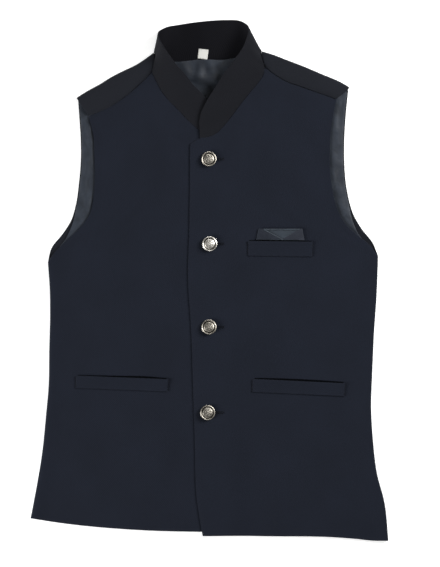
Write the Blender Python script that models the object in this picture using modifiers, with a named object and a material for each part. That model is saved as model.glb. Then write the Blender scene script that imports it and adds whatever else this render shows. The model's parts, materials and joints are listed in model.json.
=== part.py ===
"""Sleeveless jacket with a band collar, laid flat on its back with the front up.

Frame: X to the viewer's right, Y from the hem to the collar, Z up from the surface.
The wearer's left front is on the viewer's right and closes over the wearer's right front.
Tables and sizes are in millimetres, and meshes are in metres.
"""

import math

import bmesh
import bpy
import numpy as np

MM = 0.001

# Driving sizes
CLOTH = 2.2              # wall of the fronts, back and collar: cloth, fusing and turned edges
LINING = 1.0             # satin lining wall
SEAM_GAP = 0.3           # clearance between pieces at a seam
SIDE_SEAM_GAP = 0.5      # the same where two rolled edges meet at the side
SIDE_ROLL = 3.5          # outer radius of the fold along each side seam
UNROLL_BELOW = 20.0      # the side folds open out from this far below the underarm
UNROLL_ABOVE = 38.0      # to this far above it
UNDERARM_EASE = 1.6      # the side seam's edges part by this much more at the underarm
UNDERARM_EASE_REACH = 90.0
SHOULDER_ROLL = 4.6      # outer radius of the fold along each shoulder
FRONT_REST = 6.1         # outer face of a front where it lies on the lining
LAP_STEP = 2.6           # rise of the left front where it crosses the right front
LAP_EDGE = 26.0          # X to which the left front stays raised
LAP_LANDING = 62.0       # X where the left front is down on the lining again
HEM_DROP = 1.1           # the fronts sink this far at the hem, below the lining's end
HEM_DROP_REACH = 34.0
SHOULDER_LIFT = 1.5      # the fronts rise this far to the shoulder seams
SHOULDER_LIFT_REACH = 60.0
SIDE_LIFT = 1.6          # the fronts rise this far to the side folds
SIDE_LIFT_REACH = 26.0
STRIP_PUFF = 0.9         # crown of the strip between shoulder fold and seam
STRIP_SEAM_Z = 7.4       # outer face of that strip at the seam
COLLAR_BOW = 1.4         # outward bow across the standing collar
COLLAR_LYING = 9.0       # free edge below this height: no bow
COLLAR_ROOT_GAP = 0.42   # clearance of the collar's sewn edge, measured along the collar
LINING_EDGE = 6.0        # turned edge of the back that shows beside the lining
LINING_TOP_INSET = 7.0   # lining stops short of the shoulder fold
LINING_HEM_RISE = 34.0   # lining ends above the hem
LINING_NECK_CLEAR = 0.8

# Side outlines, hem to underarm (x, y)
RIGHT_SIDE = [
    (-259.0, -344.5), (-251.3, -304.0), (-242.6, -252.0), (-236.6, -194.0),
    (-232.8, -150.0), (-232.0, -99.0), (-230.8, -50.0), (-231.4, -10.0), (-234.2, 27.0),
]
LEFT_SIDE = [
    (259.4, -377.2), (253.6, -321.0), (243.0, -280.0), (236.8, -228.0),
    (234.4, -186.0), (236.0, -134.0), (238.4, -80.0), (242.4, -20.0), (244.6, 36.0),
]

# Armhole edges, underarm to shoulder (x, y)
RIGHT_ARM_FRONT = [
    (-234.2, 27.0), (-222.4, 43.0), (-203.6, 61.0), (-185.0, 79.0), (-173.0, 97.0),
    (-168.0, 120.0), (-166.0, 150.0), (-166.6, 180.0), (-168.0, 210.0), (-174.9, 238.5),
]
LEFT_ARM_FRONT = [
    (244.6, 36.0), (232.0, 51.5), (214.0, 66.0), (197.0, 82.0), (186.6, 100.0),
    (180.0, 123.0), (175.4, 155.0), (174.4, 185.0), (175.6, 215.0), (184.0, 262.5),
]
RIGHT_ARM_BACK = [
    (-234.2, 27.0), (-230.4, 44.0), (-211.0, 70.0), (-200.0, 88.0), (-194.0, 108.0),
    (-189.0, 142.0), (-186.2, 180.0), (-187.0, 214.0), (-188.6, 238.0), (-190.3, 260.6),
]
LEFT_ARM_BACK = [
    (244.6, 36.0), (237.8, 53.0), (220.0, 76.0), (208.7, 96.0), (202.0, 118.0),
    (197.2, 147.0), (195.5, 175.0), (195.6, 203.0), (197.4, 235.0), (201.3, 275.8),
]

# Shoulder folds and shoulder seams, armhole to neck (x, y)
RIGHT_FOLD = [
    (-192.6, 264.6), (-176.0, 275.0), (-159.0, 284.2), (-141.0, 295.4),
    (-124.0, 304.0), (-106.0, 312.5), (-89.0, 324.0), (-81.0, 330.0),
]
LEFT_FOLD = [
    (203.0, 280.0), (189.0, 288.0), (163.0, 299.0), (137.0, 310.0), (111.0, 320.0),
    (90.0, 328.0), (76.0, 332.0),
]
RIGHT_SEAM = [
    (-174.9, 238.5), (-157.0, 246.0), (-144.0, 252.0), (-118.8, 269.0),
    (-95.0, 290.0), (-83.0, 302.0),
]
LEFT_SEAM = [
    (184.0, 262.5), (170.5, 267.6), (150.0, 274.6), (131.4, 281.4), (109.6, 289.4),
    (94.0, 299.0), (80.0, 309.5),
]

# Neck seam on each front, shoulder seam to front edge, and on the back, right to left (x, y)
RIGHT_NECK = [
    (-83.0, 302.0), (-77.0, 289.0), (-69.0, 274.0), (-58.0, 260.0), (-45.0, 247.0),
    (-31.8, 233.0), (-21.0, 223.0), (-8.0, 214.5), (8.0, 209.0), (21.0, 206.5),
]
LEFT_NECK = [
    (80.0, 309.5), (78.4, 299.0), (72.6, 289.0), (59.5, 273.0), (44.4, 254.0),
    (31.0, 236.0), (20.6, 223.4), (10.0, 213.0), (0.0, 208.4), (-13.6, 206.6),
]
BACK_NECK = [
    (-78.7, 326.0), (-66.0, 320.5), (-50.0, 316.6), (-34.0, 317.6), (-18.0, 319.4),
    (0.0, 319.8), (16.0, 319.2), (32.0, 321.2), (50.0, 325.6), (64.0, 328.4), (74.3, 327.7),
]
LEFT_NECK_CORNER = (-28.0, 197.6)   # the left front runs on past the collar's end

# Front edges, neck to hem, and hems, side to front edge (x, y)
RIGHT_FRONT_EDGE = [(21.0, 206.5), (24.0, 60.0), (24.0, -150.0), (24.0, -364.5)]
LEFT_FRONT_EDGE = [
    (-28.0, 197.6), (-29.2, 73.0), (-31.0, 5.0), (-26.4, -72.0),
    (-23.8, -149.0), (-21.0, -236.0), (-18.4, -314.0), (-9.8, -370.4),
]
RIGHT_HEM = [
    (-259.0, -344.5), (-228.0, -349.6), (-193.0, -354.2), (-124.0, -360.3),
    (-72.0, -363.0), (-28.0, -364.0), (24.0, -364.5),
]
LEFT_HEM = [
    (259.4, -377.2), (236.0, -377.0), (215.0, -374.8), (181.0, -372.2),
    (85.0, -370.6), (44.0, -370.0), (-9.8, -370.4),
]
BACK_HEM = [
    (-259.0, -344.5), (-228.0, -347.4), (-124.0, -357.0), (-28.0, -361.0),
    (60.0, -364.0), (160.0, -368.4), (235.0, -374.0), (259.4, -377.2),
]

# Collar's free edge: stretch of the neck seam, place along it, then x, y, z
COLLAR_FREE_EDGE = [
    ("right neck", 1.00, 21.5, 234.0, 6.2),
    ("right neck", 0.88, 13.0, 247.0, 7.0),
    ("right neck", 0.74, 1.0, 259.0, 9.2),
    ("right neck", 0.60, -11.0, 271.0, 13.4),
    ("right neck", 0.42, -24.5, 284.5, 18.5),
    ("right neck", 0.24, -37.0, 300.0, 24.0),
    ("right neck", 0.00, -50.5, 314.5, 29.0),
    ("right strip", 0.50, -61.0, 328.5, 32.5),
    ("right strip", 1.00, -69.5, 341.0, 33.0),
    ("right roll", 0.50, -74.4, 353.0, 29.0),
    ("right roll", 1.00, -71.5, 361.5, 20.0),
    ("back neck", 0.10, -61.0, 367.4, 9.0),
    ("back neck", 0.22, -46.0, 370.4, 2.4),
    ("back neck", 0.40, -20.0, 374.4, 0.0),
    ("back neck", 0.58, 6.0, 377.0, 0.0),
    ("back neck", 0.74, 28.0, 377.7, 0.0),
    ("back neck", 0.88, 44.0, 376.6, 3.6),
    ("left roll", 0.00, 54.0, 371.0, 12.0),
    ("left roll", 0.50, 57.4, 362.0, 20.0),
    ("left strip", 0.00, 54.0, 349.0, 24.0),
    ("left strip", 1.00, 46.0, 332.0, 25.0),
    ("left neck", 0.16, 35.0, 317.0, 24.0),
    ("left neck", 0.34, 22.6, 301.0, 22.0),
    ("left neck", 0.52, 10.0, 281.0, 20.0),
    ("left neck", 0.70, -2.6, 262.0, 17.0),
    ("left neck", 0.86, -11.6, 244.0, 13.6),
    ("left neck", 1.00, -15.0, 231.0, 11.4),
]

# Soft folds raised in both fronts: centre, heading in degrees, half sizes, height
SOFT_FOLDS = [
    # x, y, heading, half_length, half_width, height
    (34.0, 18.0, 32.0, 62.0, 26.0, 1.5),
    (-120.0, 150.0, 62.0, 90.0, 40.0, 0.9),
    (120.0, 165.0, 118.0, 90.0, 40.0, 0.8),
    (-150.0, -40.0, 84.0, 150.0, 44.0, 1.0),
    (160.0, -60.0, 96.0, 140.0, 44.0, 1.0),
    (-90.0, -250.0, 78.0, 110.0, 46.0, 0.8),
    (110.0, -260.0, 100.0, 110.0, 46.0, 0.9),
]

# Pocket welts: corners at the mouth's two ends and below them, seen from the front
WELTS = {
    # name: (left_x, left_y, right_x, right_y, height)
    "welt_lower_right": (-193.0, -137.4, -59.3, -142.6, 18.6),
    "welt_lower_left": (62.8, -142.2, 196.6, -148.6, 19.4),
    "welt_chest": (56.0, 57.6, 149.6, 56.4, 22.2),
}
WELT_WALL = 1.6
WELT_MOUTH = 0.9         # the free upper edge stands this much further off the panel
WELT_FLAT = 0.3          # lower share of the welt that lies flat on the panel

# Pocket square: width at the mouth, width at the top, height shown, wall
SQUARE_CENTRE_X = 102.8
SQUARE_MOUTH_WIDTH = 70.0
SQUARE_TOP_WIDTH = 62.5
SQUARE_RISE = 18.2
SQUARE_WALL = 1.0
SQUARE_CLEAR = 0.7       # gap between the square and the welt's upper edge
LAY_GAP = 0.35           # clearance under what lies on a panel

LABEL_SIZE = (14.2, 14.0)
LABEL_CENTRE = (-9.2, 328.2)
LABEL_TURN = -7.0
LABEL_WALL = 0.6

# Buttons down the closing (x, y) and the turned profile (radius, height above the cloth)
BUTTONS = [(-0.9, 175.6), (0.1, 52.9), (-0.6, -67.6), (-2.9, -191.3)]
BUTTON_PROFILE = [
    (0.0, 5.2), (3.0, 5.0), (6.0, 4.4), (7.6, 3.6), (8.3, 3.4), (9.0, 4.3), (9.9, 4.6),
    (10.7, 4.2), (11.0, 3.4), (10.4, 2.4), (2.6, 2.1), (2.6, 0.0), (0.0, 0.0),
]
BUTTON_STEPS = 24

# Section of a side fold's quarter: share of its reach, share of its drop
ROLL_PROFILE = [(0.62, 0.15), (0.92, 0.48), (1.0, 0.82), (1.0, 1.0)]
EDGE_STEPS = len(ROLL_PROFILE)

# Mesh divisions
SIDE_ROWS = 11
ARM_ROWS = 10
SHOULDER_COLUMNS = 5
NECK_COLUMNS = 14
BACK_NECK_COLUMNS = 16
ROLL_ANGLES = (36.0, 72.0, 108.0, 144.0, 180.0)
STRIP_ROWS = 3
COLLAR_ROWS = 5
LINING_ROWS = 12
WELT_COLUMNS = 8
WELT_ROWS = 3
SQUARE_COLUMNS = 8
SQUARE_ROWS = 3
CURVE_FINENESS = 14

# Shading and joining of meshes
SHARP_ANGLE = 40.0       # degrees between faces that meet in a crisp edge
WELD = 0.000001          # points nearer than this, in metres, are one

# Base colour (linear), roughness, metallic
FINISHES = {
    "suiting": ((0.018, 0.021, 0.032), 0.86, 0.0),
    "collar_cloth": ((0.014, 0.015, 0.019), 0.86, 0.0),
    "satin": ((0.045, 0.052, 0.072), 0.38, 0.0),
    "label_tape": ((0.68, 0.66, 0.60), 0.75, 0.0),
    "pewter": ((0.46, 0.43, 0.38), 0.34, 1.0),
}


def hermite(knots, values, places):
    """Smooth curve through values at knots, read at places."""
    knots = np.asarray(knots, float)
    values = np.asarray(values, float)
    slopes = np.gradient(values, knots, axis=0)
    span = np.clip(np.searchsorted(knots, places, side="right") - 1, 0, len(knots) - 2)
    width = (knots[span + 1] - knots[span])[:, None]
    t = ((places - knots[span]) / (knots[span + 1] - knots[span]))[:, None]
    return (
        (2 * t**3 - 3 * t**2 + 1) * values[span]
        + (t**3 - 2 * t**2 + t) * width * slopes[span]
        + (3 * t**2 - 2 * t**3) * values[span + 1]
        + (t**3 - t**2) * width * slopes[span + 1]
    )


def lengths_along(points):
    """Running length at each point of a polyline."""
    steps = np.linalg.norm(np.diff(points, axis=0), axis=1)
    return np.concatenate([[0.0], np.cumsum(steps)])


def smooth_line(rows):
    """Fine polyline on a smooth curve through the rows."""
    rows = np.asarray(rows, float)
    knots = lengths_along(rows)
    places = np.linspace(0.0, knots[-1], CURVE_FINENESS * (len(rows) - 1) + 1)
    return hermite(knots, rows, places)


def at_fractions(line, fractions):
    """Points of a polyline at fractions of its length."""
    run = lengths_along(line)
    target = np.asarray(fractions) * run[-1]
    return np.stack([np.interp(target, run, line[:, k]) for k in range(line.shape[1])], axis=1)


def smoothstep(value):
    """Soft ramp from 0 to 1."""
    t = np.clip(value, 0.0, 1.0)
    return t * t * (3.0 - 2.0 * t)


def distance_to(points, line):
    """Distance in plan from each point to a polyline's points."""
    gaps = points[..., None, :2] - line[:, :2]
    return np.sqrt((gaps**2).sum(axis=-1)).min(axis=-1)


RIGHT_SEAM_LINE = smooth_line(RIGHT_SEAM)
LEFT_SEAM_LINE = smooth_line(LEFT_SEAM)
SIDE_LINES = np.concatenate([smooth_line(RIGHT_SIDE), smooth_line(LEFT_SIDE)])
SEAM_LINES = np.concatenate([RIGHT_SEAM_LINE, LEFT_SEAM_LINE])
HEM_LINES = np.concatenate([smooth_line(RIGHT_HEM), smooth_line(LEFT_HEM)])


def front_height(points, over):
    """Height of a front's outer face at points in plan; over is the upper, left front."""
    points = np.asarray(points, float)
    x = points[..., 0]
    y = points[..., 1]
    z = np.full(x.shape, FRONT_REST)
    for fold_x, fold_y, heading, half_length, half_width, height in SOFT_FOLDS:
        turn = math.radians(heading)
        along = (x - fold_x) * math.cos(turn) + (y - fold_y) * math.sin(turn)
        across = (y - fold_y) * math.cos(turn) - (x - fold_x) * math.sin(turn)
        z += height * np.exp(-((along / half_length) ** 2) - (across / half_width) ** 2)
    side = smoothstep(1.0 - distance_to(points, SIDE_LINES) / SIDE_LIFT_REACH)
    seam = smoothstep(1.0 - distance_to(points, SEAM_LINES) / SHOULDER_LIFT_REACH)
    hem = smoothstep(1.0 - distance_to(points, HEM_LINES) / HEM_DROP_REACH)
    z += SIDE_LIFT * side + SHOULDER_LIFT * seam - HEM_DROP * hem * (1.0 - side)
    if over:
        z += LAP_STEP * (1.0 - smoothstep((x - LAP_EDGE) / (LAP_LANDING - LAP_EDGE)))
    return z


def shoulder_fractions(line):
    """Places along a shoulder: close steps at the armhole edge, then even ones to the neck."""
    edge = SIDE_ROLL / lengths_along(line)[-1]
    close = np.linspace(0.0, edge, EDGE_STEPS + 1)
    return np.concatenate([close, np.linspace(edge, 1.0, SHOULDER_COLUMNS + 1)[1:]])


def outward(line, sign):
    """Unit normals in plan that point away from the body; sign is -1 on the viewer's left."""
    tangent = np.gradient(line, axis=0)
    tangent /= np.linalg.norm(tangent, axis=1)[:, None]
    return sign * np.stack([tangent[:, 1], -tangent[:, 0]], axis=1)


def coons(bottom, top, left, right, across, up):
    """Surface patch between four edges, with the shares across and up of its lines."""
    u = across[None, :, None]
    v = up[:, None, None]
    corners = (
        (1 - u) * (1 - v) * bottom[0] + u * (1 - v) * bottom[-1]
        + (1 - u) * v * top[0] + u * v * top[-1]
    )
    rows = (1 - v) * bottom[None] + v * top[None]
    columns = (1 - u) * left[:, None] + u * right[:, None]
    return rows + columns - corners


def edge_rows(side, armhole):
    """Outline points from hem to shoulder, even along the side and along the armhole."""
    low = at_fractions(smooth_line(side), np.linspace(0.0, 1.0, SIDE_ROWS + 1))
    high = at_fractions(smooth_line(armhole), np.linspace(0.0, 1.0, ARM_ROWS + 1))
    return np.concatenate([low, high[1:]])


def shares(points, axis):
    """Each point's share of the way from the first to the last, along one axis."""
    return (points[:, axis] - points[0, axis]) / (points[-1, axis] - points[0, axis])


def roll_weight(outline, underarm_y):
    """How far the outline's edge is rolled: full along the side, none at the armhole."""
    above = outline[:, 1] - underarm_y + UNROLL_BELOW
    return 1.0 - smoothstep(above / (UNROLL_BELOW + UNROLL_ABOVE))


def seam_gap(outline, underarm_y):
    """Gap between the two rolled edges at the side seam, wider near the underarm."""
    near = smoothstep(1.0 - (underarm_y - outline[:, 1]) / UNDERARM_EASE_REACH)
    return SIDE_SEAM_GAP + UNDERARM_EASE * near


def edge_strip(inner, outline, weight, height, drop):
    """Columns from the outline in to a patch's edge: a quarter roll, or flat at the armhole."""
    columns = []
    reach = np.linalg.norm(outline - inner, axis=1)
    away = (outline - inner) / reach[:, None]
    for step in range(EDGE_STEPS, 0, -1):
        rolled_out, sunk = ROLL_PROFILE[step - 1]
        out = reach * (step / EDGE_STEPS * (1 - weight) + rolled_out * weight)
        sink = drop * sunk * weight
        columns.append(np.column_stack([inner + away * out[:, None], height + sink]))
    return np.stack(columns, axis=1)


def front_grid(side, armhole, seam_line, neck, hem, front_edge, sign, over):
    """Outer face of a front: columns run from the side to the front edge."""
    outline = edge_rows(side, armhole)
    shoulder = at_fractions(seam_line, shoulder_fractions(seam_line))
    shoulder += np.array([0.0, -SEAM_GAP])
    top = np.concatenate([shoulder[EDGE_STEPS:], neck[1:]])
    hem_line = smooth_line(hem)
    edge_line = smooth_line(front_edge)[::-1]
    by_length = lengths_along(top) / lengths_along(top)[-1]
    across = (by_length + shares(top, 0)) / 2
    start = SIDE_ROLL / lengths_along(hem_line)[-1]
    bottom = at_fractions(hem_line, start + (1 - start) * across)
    up = shares(outline, 1)
    inner = outline - outward(outline, sign) * SIDE_ROLL
    inner[0] = bottom[0]
    inner[-1] = top[0]
    outline[-1] = shoulder[0]
    front = at_fractions(edge_line, up)
    front[0] = bottom[-1]
    front[-1] = top[-1]
    flat = coons(bottom, top, inner, front, across, up)
    body = np.concatenate([flat, front_height(flat, over)[..., None]], axis=2)
    # Squared, so that the front's edge opens out below the back's, which stays rolled longer
    weight = roll_weight(outline, side[-1][1]) ** 2
    drop = SIDE_ROLL + seam_gap(outline, side[-1][1]) / 2 - body[:, 0, 2]
    strip = edge_strip(inner, outline, weight, body[:, 0, 2], drop)
    return np.concatenate([strip, body], axis=1)


def lap_neck():
    """Neck seam of the left front, with the short run past the collar's end."""
    neck = at_fractions(smooth_line(LEFT_NECK), np.linspace(0.0, 1.0, NECK_COLUMNS + 1))
    corner = np.array([LEFT_NECK_CORNER])
    return np.concatenate([neck, (neck[-1:] + corner) / 2, corner])


def right_neck():
    """Neck seam of the right front."""
    return at_fractions(smooth_line(RIGHT_NECK), np.linspace(0.0, 1.0, NECK_COLUMNS + 1))


def shoulder_strip(fold_line, seam_line, sign):
    """Rows of the back's strip over one shoulder: round the fold, then in to the seam."""
    fractions = shoulder_fractions(fold_line)
    fold = at_fractions(fold_line, fractions)
    seam = at_fractions(seam_line, shoulder_fractions(seam_line))
    inward = outward(fold, sign)
    rows = []
    for angle in (0.0,) + ROLL_ANGLES:
        turn = math.radians(angle)
        plan = fold + inward * SHOULDER_ROLL * (1.0 - math.sin(turn))
        height = np.full(len(fold), SHOULDER_ROLL * (1.0 - math.cos(turn)))
        rows.append(np.column_stack([plan, height]))
    crest = rows[-1]
    for step in range(1, STRIP_ROWS + 1):
        share = step / STRIP_ROWS
        plan = crest[:, :2] * (1 - share) + seam * share
        level = 2 * SHOULDER_ROLL * (1 - share**2) + STRIP_SEAM_Z * share**2
        height = np.full(len(fold), level + STRIP_PUFF * math.sin(math.pi * share))
        rows.append(np.column_stack([plan, height]))
    return np.stack(rows)


def back_neck():
    """Neck seam of the back, between the two shoulder folds."""
    return at_fractions(smooth_line(BACK_NECK), np.linspace(0.0, 1.0, BACK_NECK_COLUMNS + 1))


def back_grid(right_strip, left_strip):
    """Outer face of the back below the shoulder folds, from right side to left side."""
    right = edge_rows(RIGHT_SIDE, RIGHT_ARM_BACK)
    left = edge_rows(LEFT_SIDE, LEFT_ARM_BACK)
    right_fold = right_strip[0, :, :2]
    left_fold = left_strip[0, ::-1, :2]
    top = np.concatenate([
        right_fold[EDGE_STEPS:-1], back_neck(), left_fold[1:len(left_fold) - EDGE_STEPS]
    ])
    top[SHOULDER_COLUMNS] = right_fold[-1]
    top[SHOULDER_COLUMNS + BACK_NECK_COLUMNS] = left_fold[0]
    across = shares(top, 0)
    hem_line = smooth_line(BACK_HEM)
    margin = SIDE_ROLL / lengths_along(hem_line)[-1]
    bottom = at_fractions(hem_line, margin + (1 - 2 * margin) * across)
    up = (shares(right, 1) + shares(left, 1)) / 2
    inner_right = right - outward(right, -1) * SIDE_ROLL
    inner_left = left - outward(left, 1) * SIDE_ROLL
    inner_right[0] = bottom[0]
    inner_right[-1] = top[0]
    inner_left[0] = bottom[-1]
    inner_left[-1] = top[-1]
    right[-1] = right_fold[0]
    left[-1] = left_fold[-1]
    flat = coons(bottom, top, inner_right, inner_left, across, up)
    body = np.concatenate([flat, np.zeros(flat.shape[:2] + (1,))], axis=2)
    strips = []
    for inner, outline, side in ((inner_right, right, RIGHT_SIDE), (inner_left, left, LEFT_SIDE)):
        underarm_y = side[-1][1]
        rise = SIDE_ROLL - seam_gap(outline, underarm_y) / 2
        weight = roll_weight(outline, underarm_y)
        strips.append(edge_strip(inner, outline, weight, np.zeros(len(outline)), rise))
    grid = np.concatenate([strips[0], body, strips[1][:, ::-1]], axis=1)
    grid[-1, :right_strip.shape[1]] = right_strip[0]
    grid[-1, -left_strip.shape[1]:] = left_strip[0, ::-1]
    return grid


def neck_path(right_strip, left_strip):
    """Neck seam in space from the collar's under end to its upper end, with the stretches."""
    right = right_neck()
    left = at_fractions(smooth_line(LEFT_NECK), np.linspace(0.0, 1.0, NECK_COLUMNS + 1))
    right_top = np.column_stack([right, front_height(right, False)])
    left_top = np.column_stack([left, front_height(left, True)])
    roll_rows = len(ROLL_ANGLES)
    back = back_neck()
    back_low = np.column_stack([back, np.zeros(len(back))])
    right_end = right_strip[:, -1]
    left_end = left_strip[:, -1]
    back_low[0] = right_end[0]
    back_low[-1] = left_end[0]
    stretches = {
        "right neck": right_top[::-1],
        "right strip": right_end[roll_rows:][::-1],
        "right roll": right_end[:roll_rows + 1][::-1],
        "back neck": back_low,
        "left roll": left_end[:roll_rows + 1],
        "left strip": left_end[roll_rows:],
        "left neck": left_top,
    }
    points = []
    starts = {}
    for name, stretch in stretches.items():
        first = 0 if not points else 1
        starts[name] = (len(points) - first, len(stretch) - 1)
        points.extend(stretch[first:])
    return np.array(points), starts


def collar_grid(right_strip, left_strip):
    """Outer face of the collar: rows from the neck seam to the free edge."""
    seam, starts = neck_path(right_strip, left_strip)
    knots = []
    free = []
    for stretch, place, x, y, z in COLLAR_FREE_EDGE:
        start, count = starts[stretch]
        share = 1.0 - place if stretch == "right neck" else place
        knots.append(start + share * count)
        free.append((x, y, z))
    free_edge = hermite(knots, free, np.arange(len(seam), dtype=float))
    free_edge[:, 2] = np.maximum(free_edge[:, 2], 0.0)
    ruling = free_edge - seam
    ruling /= np.linalg.norm(ruling, axis=1)[:, None]
    root = seam + ruling * COLLAR_ROOT_GAP
    beneath = np.clip(1.0 - seam[:, 2] / SHOULDER_ROLL, 0.0, 1.0)
    lean = (CLOTH * ruling[:, 2] * beneath)[:, None]
    root[:, :2] += lean * ruling[:, :2] / np.linalg.norm(ruling[:, :2], axis=1)[:, None]
    rows = []
    for step in range(COLLAR_ROWS + 1):
        share = step / COLLAR_ROWS
        row = root * (1 - share) + free_edge * share
        standing = smoothstep((free_edge[:, 2] - COLLAR_LYING) / COLLAR_LYING)
        row[:, 2] += COLLAR_BOW * math.sin(math.pi * share) * standing
        rows.append(row)
    return np.stack(rows)


def lining_grid():
    """Lower face of the back lining, inside the back's turned edges."""
    reach = LINING_EDGE / lengths_along(smooth_line(RIGHT_FOLD))[-1]
    fractions = np.linspace(reach, 1.0, SHOULDER_COLUMNS + 1)
    folds = []
    for fold, sign in ((RIGHT_FOLD, 1), (LEFT_FOLD, -1)):
        line = smooth_line(fold)
        folds.append(at_fractions(line + outward(line, sign) * LINING_TOP_INSET, fractions))
    neck = back_neck() - np.array([0.0, LINING_NECK_CLEAR])
    top = np.concatenate([folds[0][:-1], neck[1:-1], folds[1][:-1][::-1]])
    across = shares(top, 0)
    sides = []
    for side, armhole, sign in (
        (RIGHT_SIDE, RIGHT_ARM_BACK, -1), (LEFT_SIDE, LEFT_ARM_BACK, 1)
    ):
        outline = edge_rows(side, armhole)
        inner = outline - outward(outline, sign) * LINING_EDGE
        start = LINING_HEM_RISE / lengths_along(inner)[-1]
        sides.append(at_fractions(inner, np.linspace(start, 1.0, LINING_ROWS + 1)))
    bottom_line = np.stack([sides[0][0], sides[1][0]])
    bottom = at_fractions(bottom_line, across)
    sides[0][-1] = top[0]
    sides[1][-1] = top[-1]
    up = (shares(sides[0], 1) + shares(sides[1], 1)) / 2
    flat = coons(bottom, top, sides[0], sides[1], across, up)
    level = np.full(flat.shape[:2] + (1,), CLOTH + SEAM_GAP)
    return np.concatenate([flat, level], axis=2)


def laid_on_front(plan, over, lift):
    """Points in plan set on a front's outer face, clear of it, plus a lift."""
    height = front_height(plan, over) + LAY_GAP + lift
    return np.concatenate([plan, height[..., None]], axis=-1)


def welt_grid(left_x, left_y, right_x, right_y, height):
    """Lower face of a welt: rows from its sewn edge up to the pocket's mouth."""
    left = np.array([left_x, left_y])
    right = np.array([right_x, right_y])
    along = (right - left) / np.linalg.norm(right - left)
    down = np.array([along[1], -along[0]])
    across = np.linspace(0.0, 1.0, WELT_COLUMNS + 1)[None, :, None]
    up = np.linspace(0.0, 1.0, WELT_ROWS + 1)[:, None, None]
    plan = left + (right - left) * across + down * height * (1.0 - up)
    opening = smoothstep((up[..., 0] - WELT_FLAT) / (1.0 - WELT_FLAT))
    lift = WELT_MOUTH * opening * np.ones(plan.shape[:2])
    return laid_on_front(plan, left_x > 0.0, lift)


def square_grid():
    """Lower face of the pocket square, from the chest welt's edge to its own top."""
    left_x, left_y, right_x, right_y, _ = WELTS["welt_chest"]
    slope = (right_y - left_y) / (right_x - left_x)
    mouth_y = left_y + slope * (SQUARE_CENTRE_X - left_x) + SQUARE_CLEAR
    rows = []
    for up in np.linspace(0.0, 1.0, SQUARE_ROWS + 1):
        half = (SQUARE_MOUTH_WIDTH * (1 - up) + SQUARE_TOP_WIDTH * up) / 2
        x = SQUARE_CENTRE_X + np.linspace(-half, half, SQUARE_COLUMNS + 1)
        y = mouth_y + slope * (x - SQUARE_CENTRE_X) + SQUARE_RISE * up
        rows.append(np.column_stack([x, y]))
    plan = np.stack(rows)
    return laid_on_front(plan, True, np.zeros(plan.shape[:2]))


def finish(name):
    """Principled material of one of the finishes."""
    material = bpy.data.materials.get(name)
    if material is None:
        colour, roughness, metallic = FINISHES[name]
        material = bpy.data.materials.new(name)
        material.use_nodes = True
        shader = material.node_tree.nodes["Principled BSDF"]
        shader.inputs["Base Color"].default_value = colour + (1.0,)
        shader.inputs["Roughness"].default_value = roughness
        shader.inputs["Metallic"].default_value = metallic
    return material


def shell(collection, name, grids, wall, finish_name, flip):
    """Sheet of cloth: open surface patches welded at shared edges, thickened inward."""
    mesh = bpy.data.meshes.new(name)
    work = bmesh.new()
    for grid in grids:
        rows, columns = grid.shape[:2]
        points = [[work.verts.new(point * MM) for point in row] for row in grid]
        for r in range(rows - 1):
            for c in range(columns - 1):
                corners = [points[r][c], points[r][c + 1], points[r + 1][c + 1], points[r + 1][c]]
                work.faces.new(corners[::-1] if flip else corners)
    bmesh.ops.remove_doubles(work, verts=work.verts, dist=WELD)
    work.to_mesh(mesh)
    work.free()
    mesh.shade_smooth()
    mesh.set_sharp_from_angle(angle=math.radians(SHARP_ANGLE))
    mesh.materials.append(finish(finish_name))
    piece = bpy.data.objects.new(name, mesh)
    collection.objects.link(piece)
    thicken = piece.modifiers.new("wall", "SOLIDIFY")
    thicken.thickness = wall * MM
    thicken.offset = -1.0
    thicken.use_even_offset = True


def button(collection, name, mesh, x, y):
    """One turned shank button, standing on the left front's face."""
    seat = float(front_height(np.array([x, y]), True)) + SEAM_GAP
    piece = bpy.data.objects.new(name, mesh)
    piece.location = (x * MM, y * MM, seat * MM)
    collection.objects.link(piece)
    turn = piece.modifiers.new("turned", "SCREW")
    turn.steps = BUTTON_STEPS
    turn.render_steps = BUTTON_STEPS
    turn.use_merge_vertices = True
    turn.merge_threshold = WELD
    turn.use_smooth_shade = True


def button_profile():
    """Open profile of a button in the XZ plane, from the crown's centre to the shank."""
    mesh = bpy.data.meshes.new("button_profile")
    points = [(radius * MM, 0.0, height * MM) for radius, height in BUTTON_PROFILE]
    edges = [(k, k + 1) for k in range(len(points) - 1)]
    mesh.from_pydata(points, edges, [])
    mesh.materials.append(finish("pewter"))
    return mesh


def label(collection):
    """Bare size label on the inner face of the collar at the back neck."""
    bpy.ops.mesh.primitive_cube_add(size=1.0)
    piece = bpy.context.object
    piece.name = "neck_label"
    piece.scale = (LABEL_SIZE[0] * MM, LABEL_SIZE[1] * MM, LABEL_WALL * MM)
    piece.rotation_euler.z = math.radians(LABEL_TURN)
    height = CLOTH + SEAM_GAP + LABEL_WALL / 2
    piece.location = (LABEL_CENTRE[0] * MM, LABEL_CENTRE[1] * MM, height * MM)
    piece.data.materials.append(finish("label_tape"))
    for owner in piece.users_collection:
        owner.objects.unlink(piece)
    collection.objects.link(piece)


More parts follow.
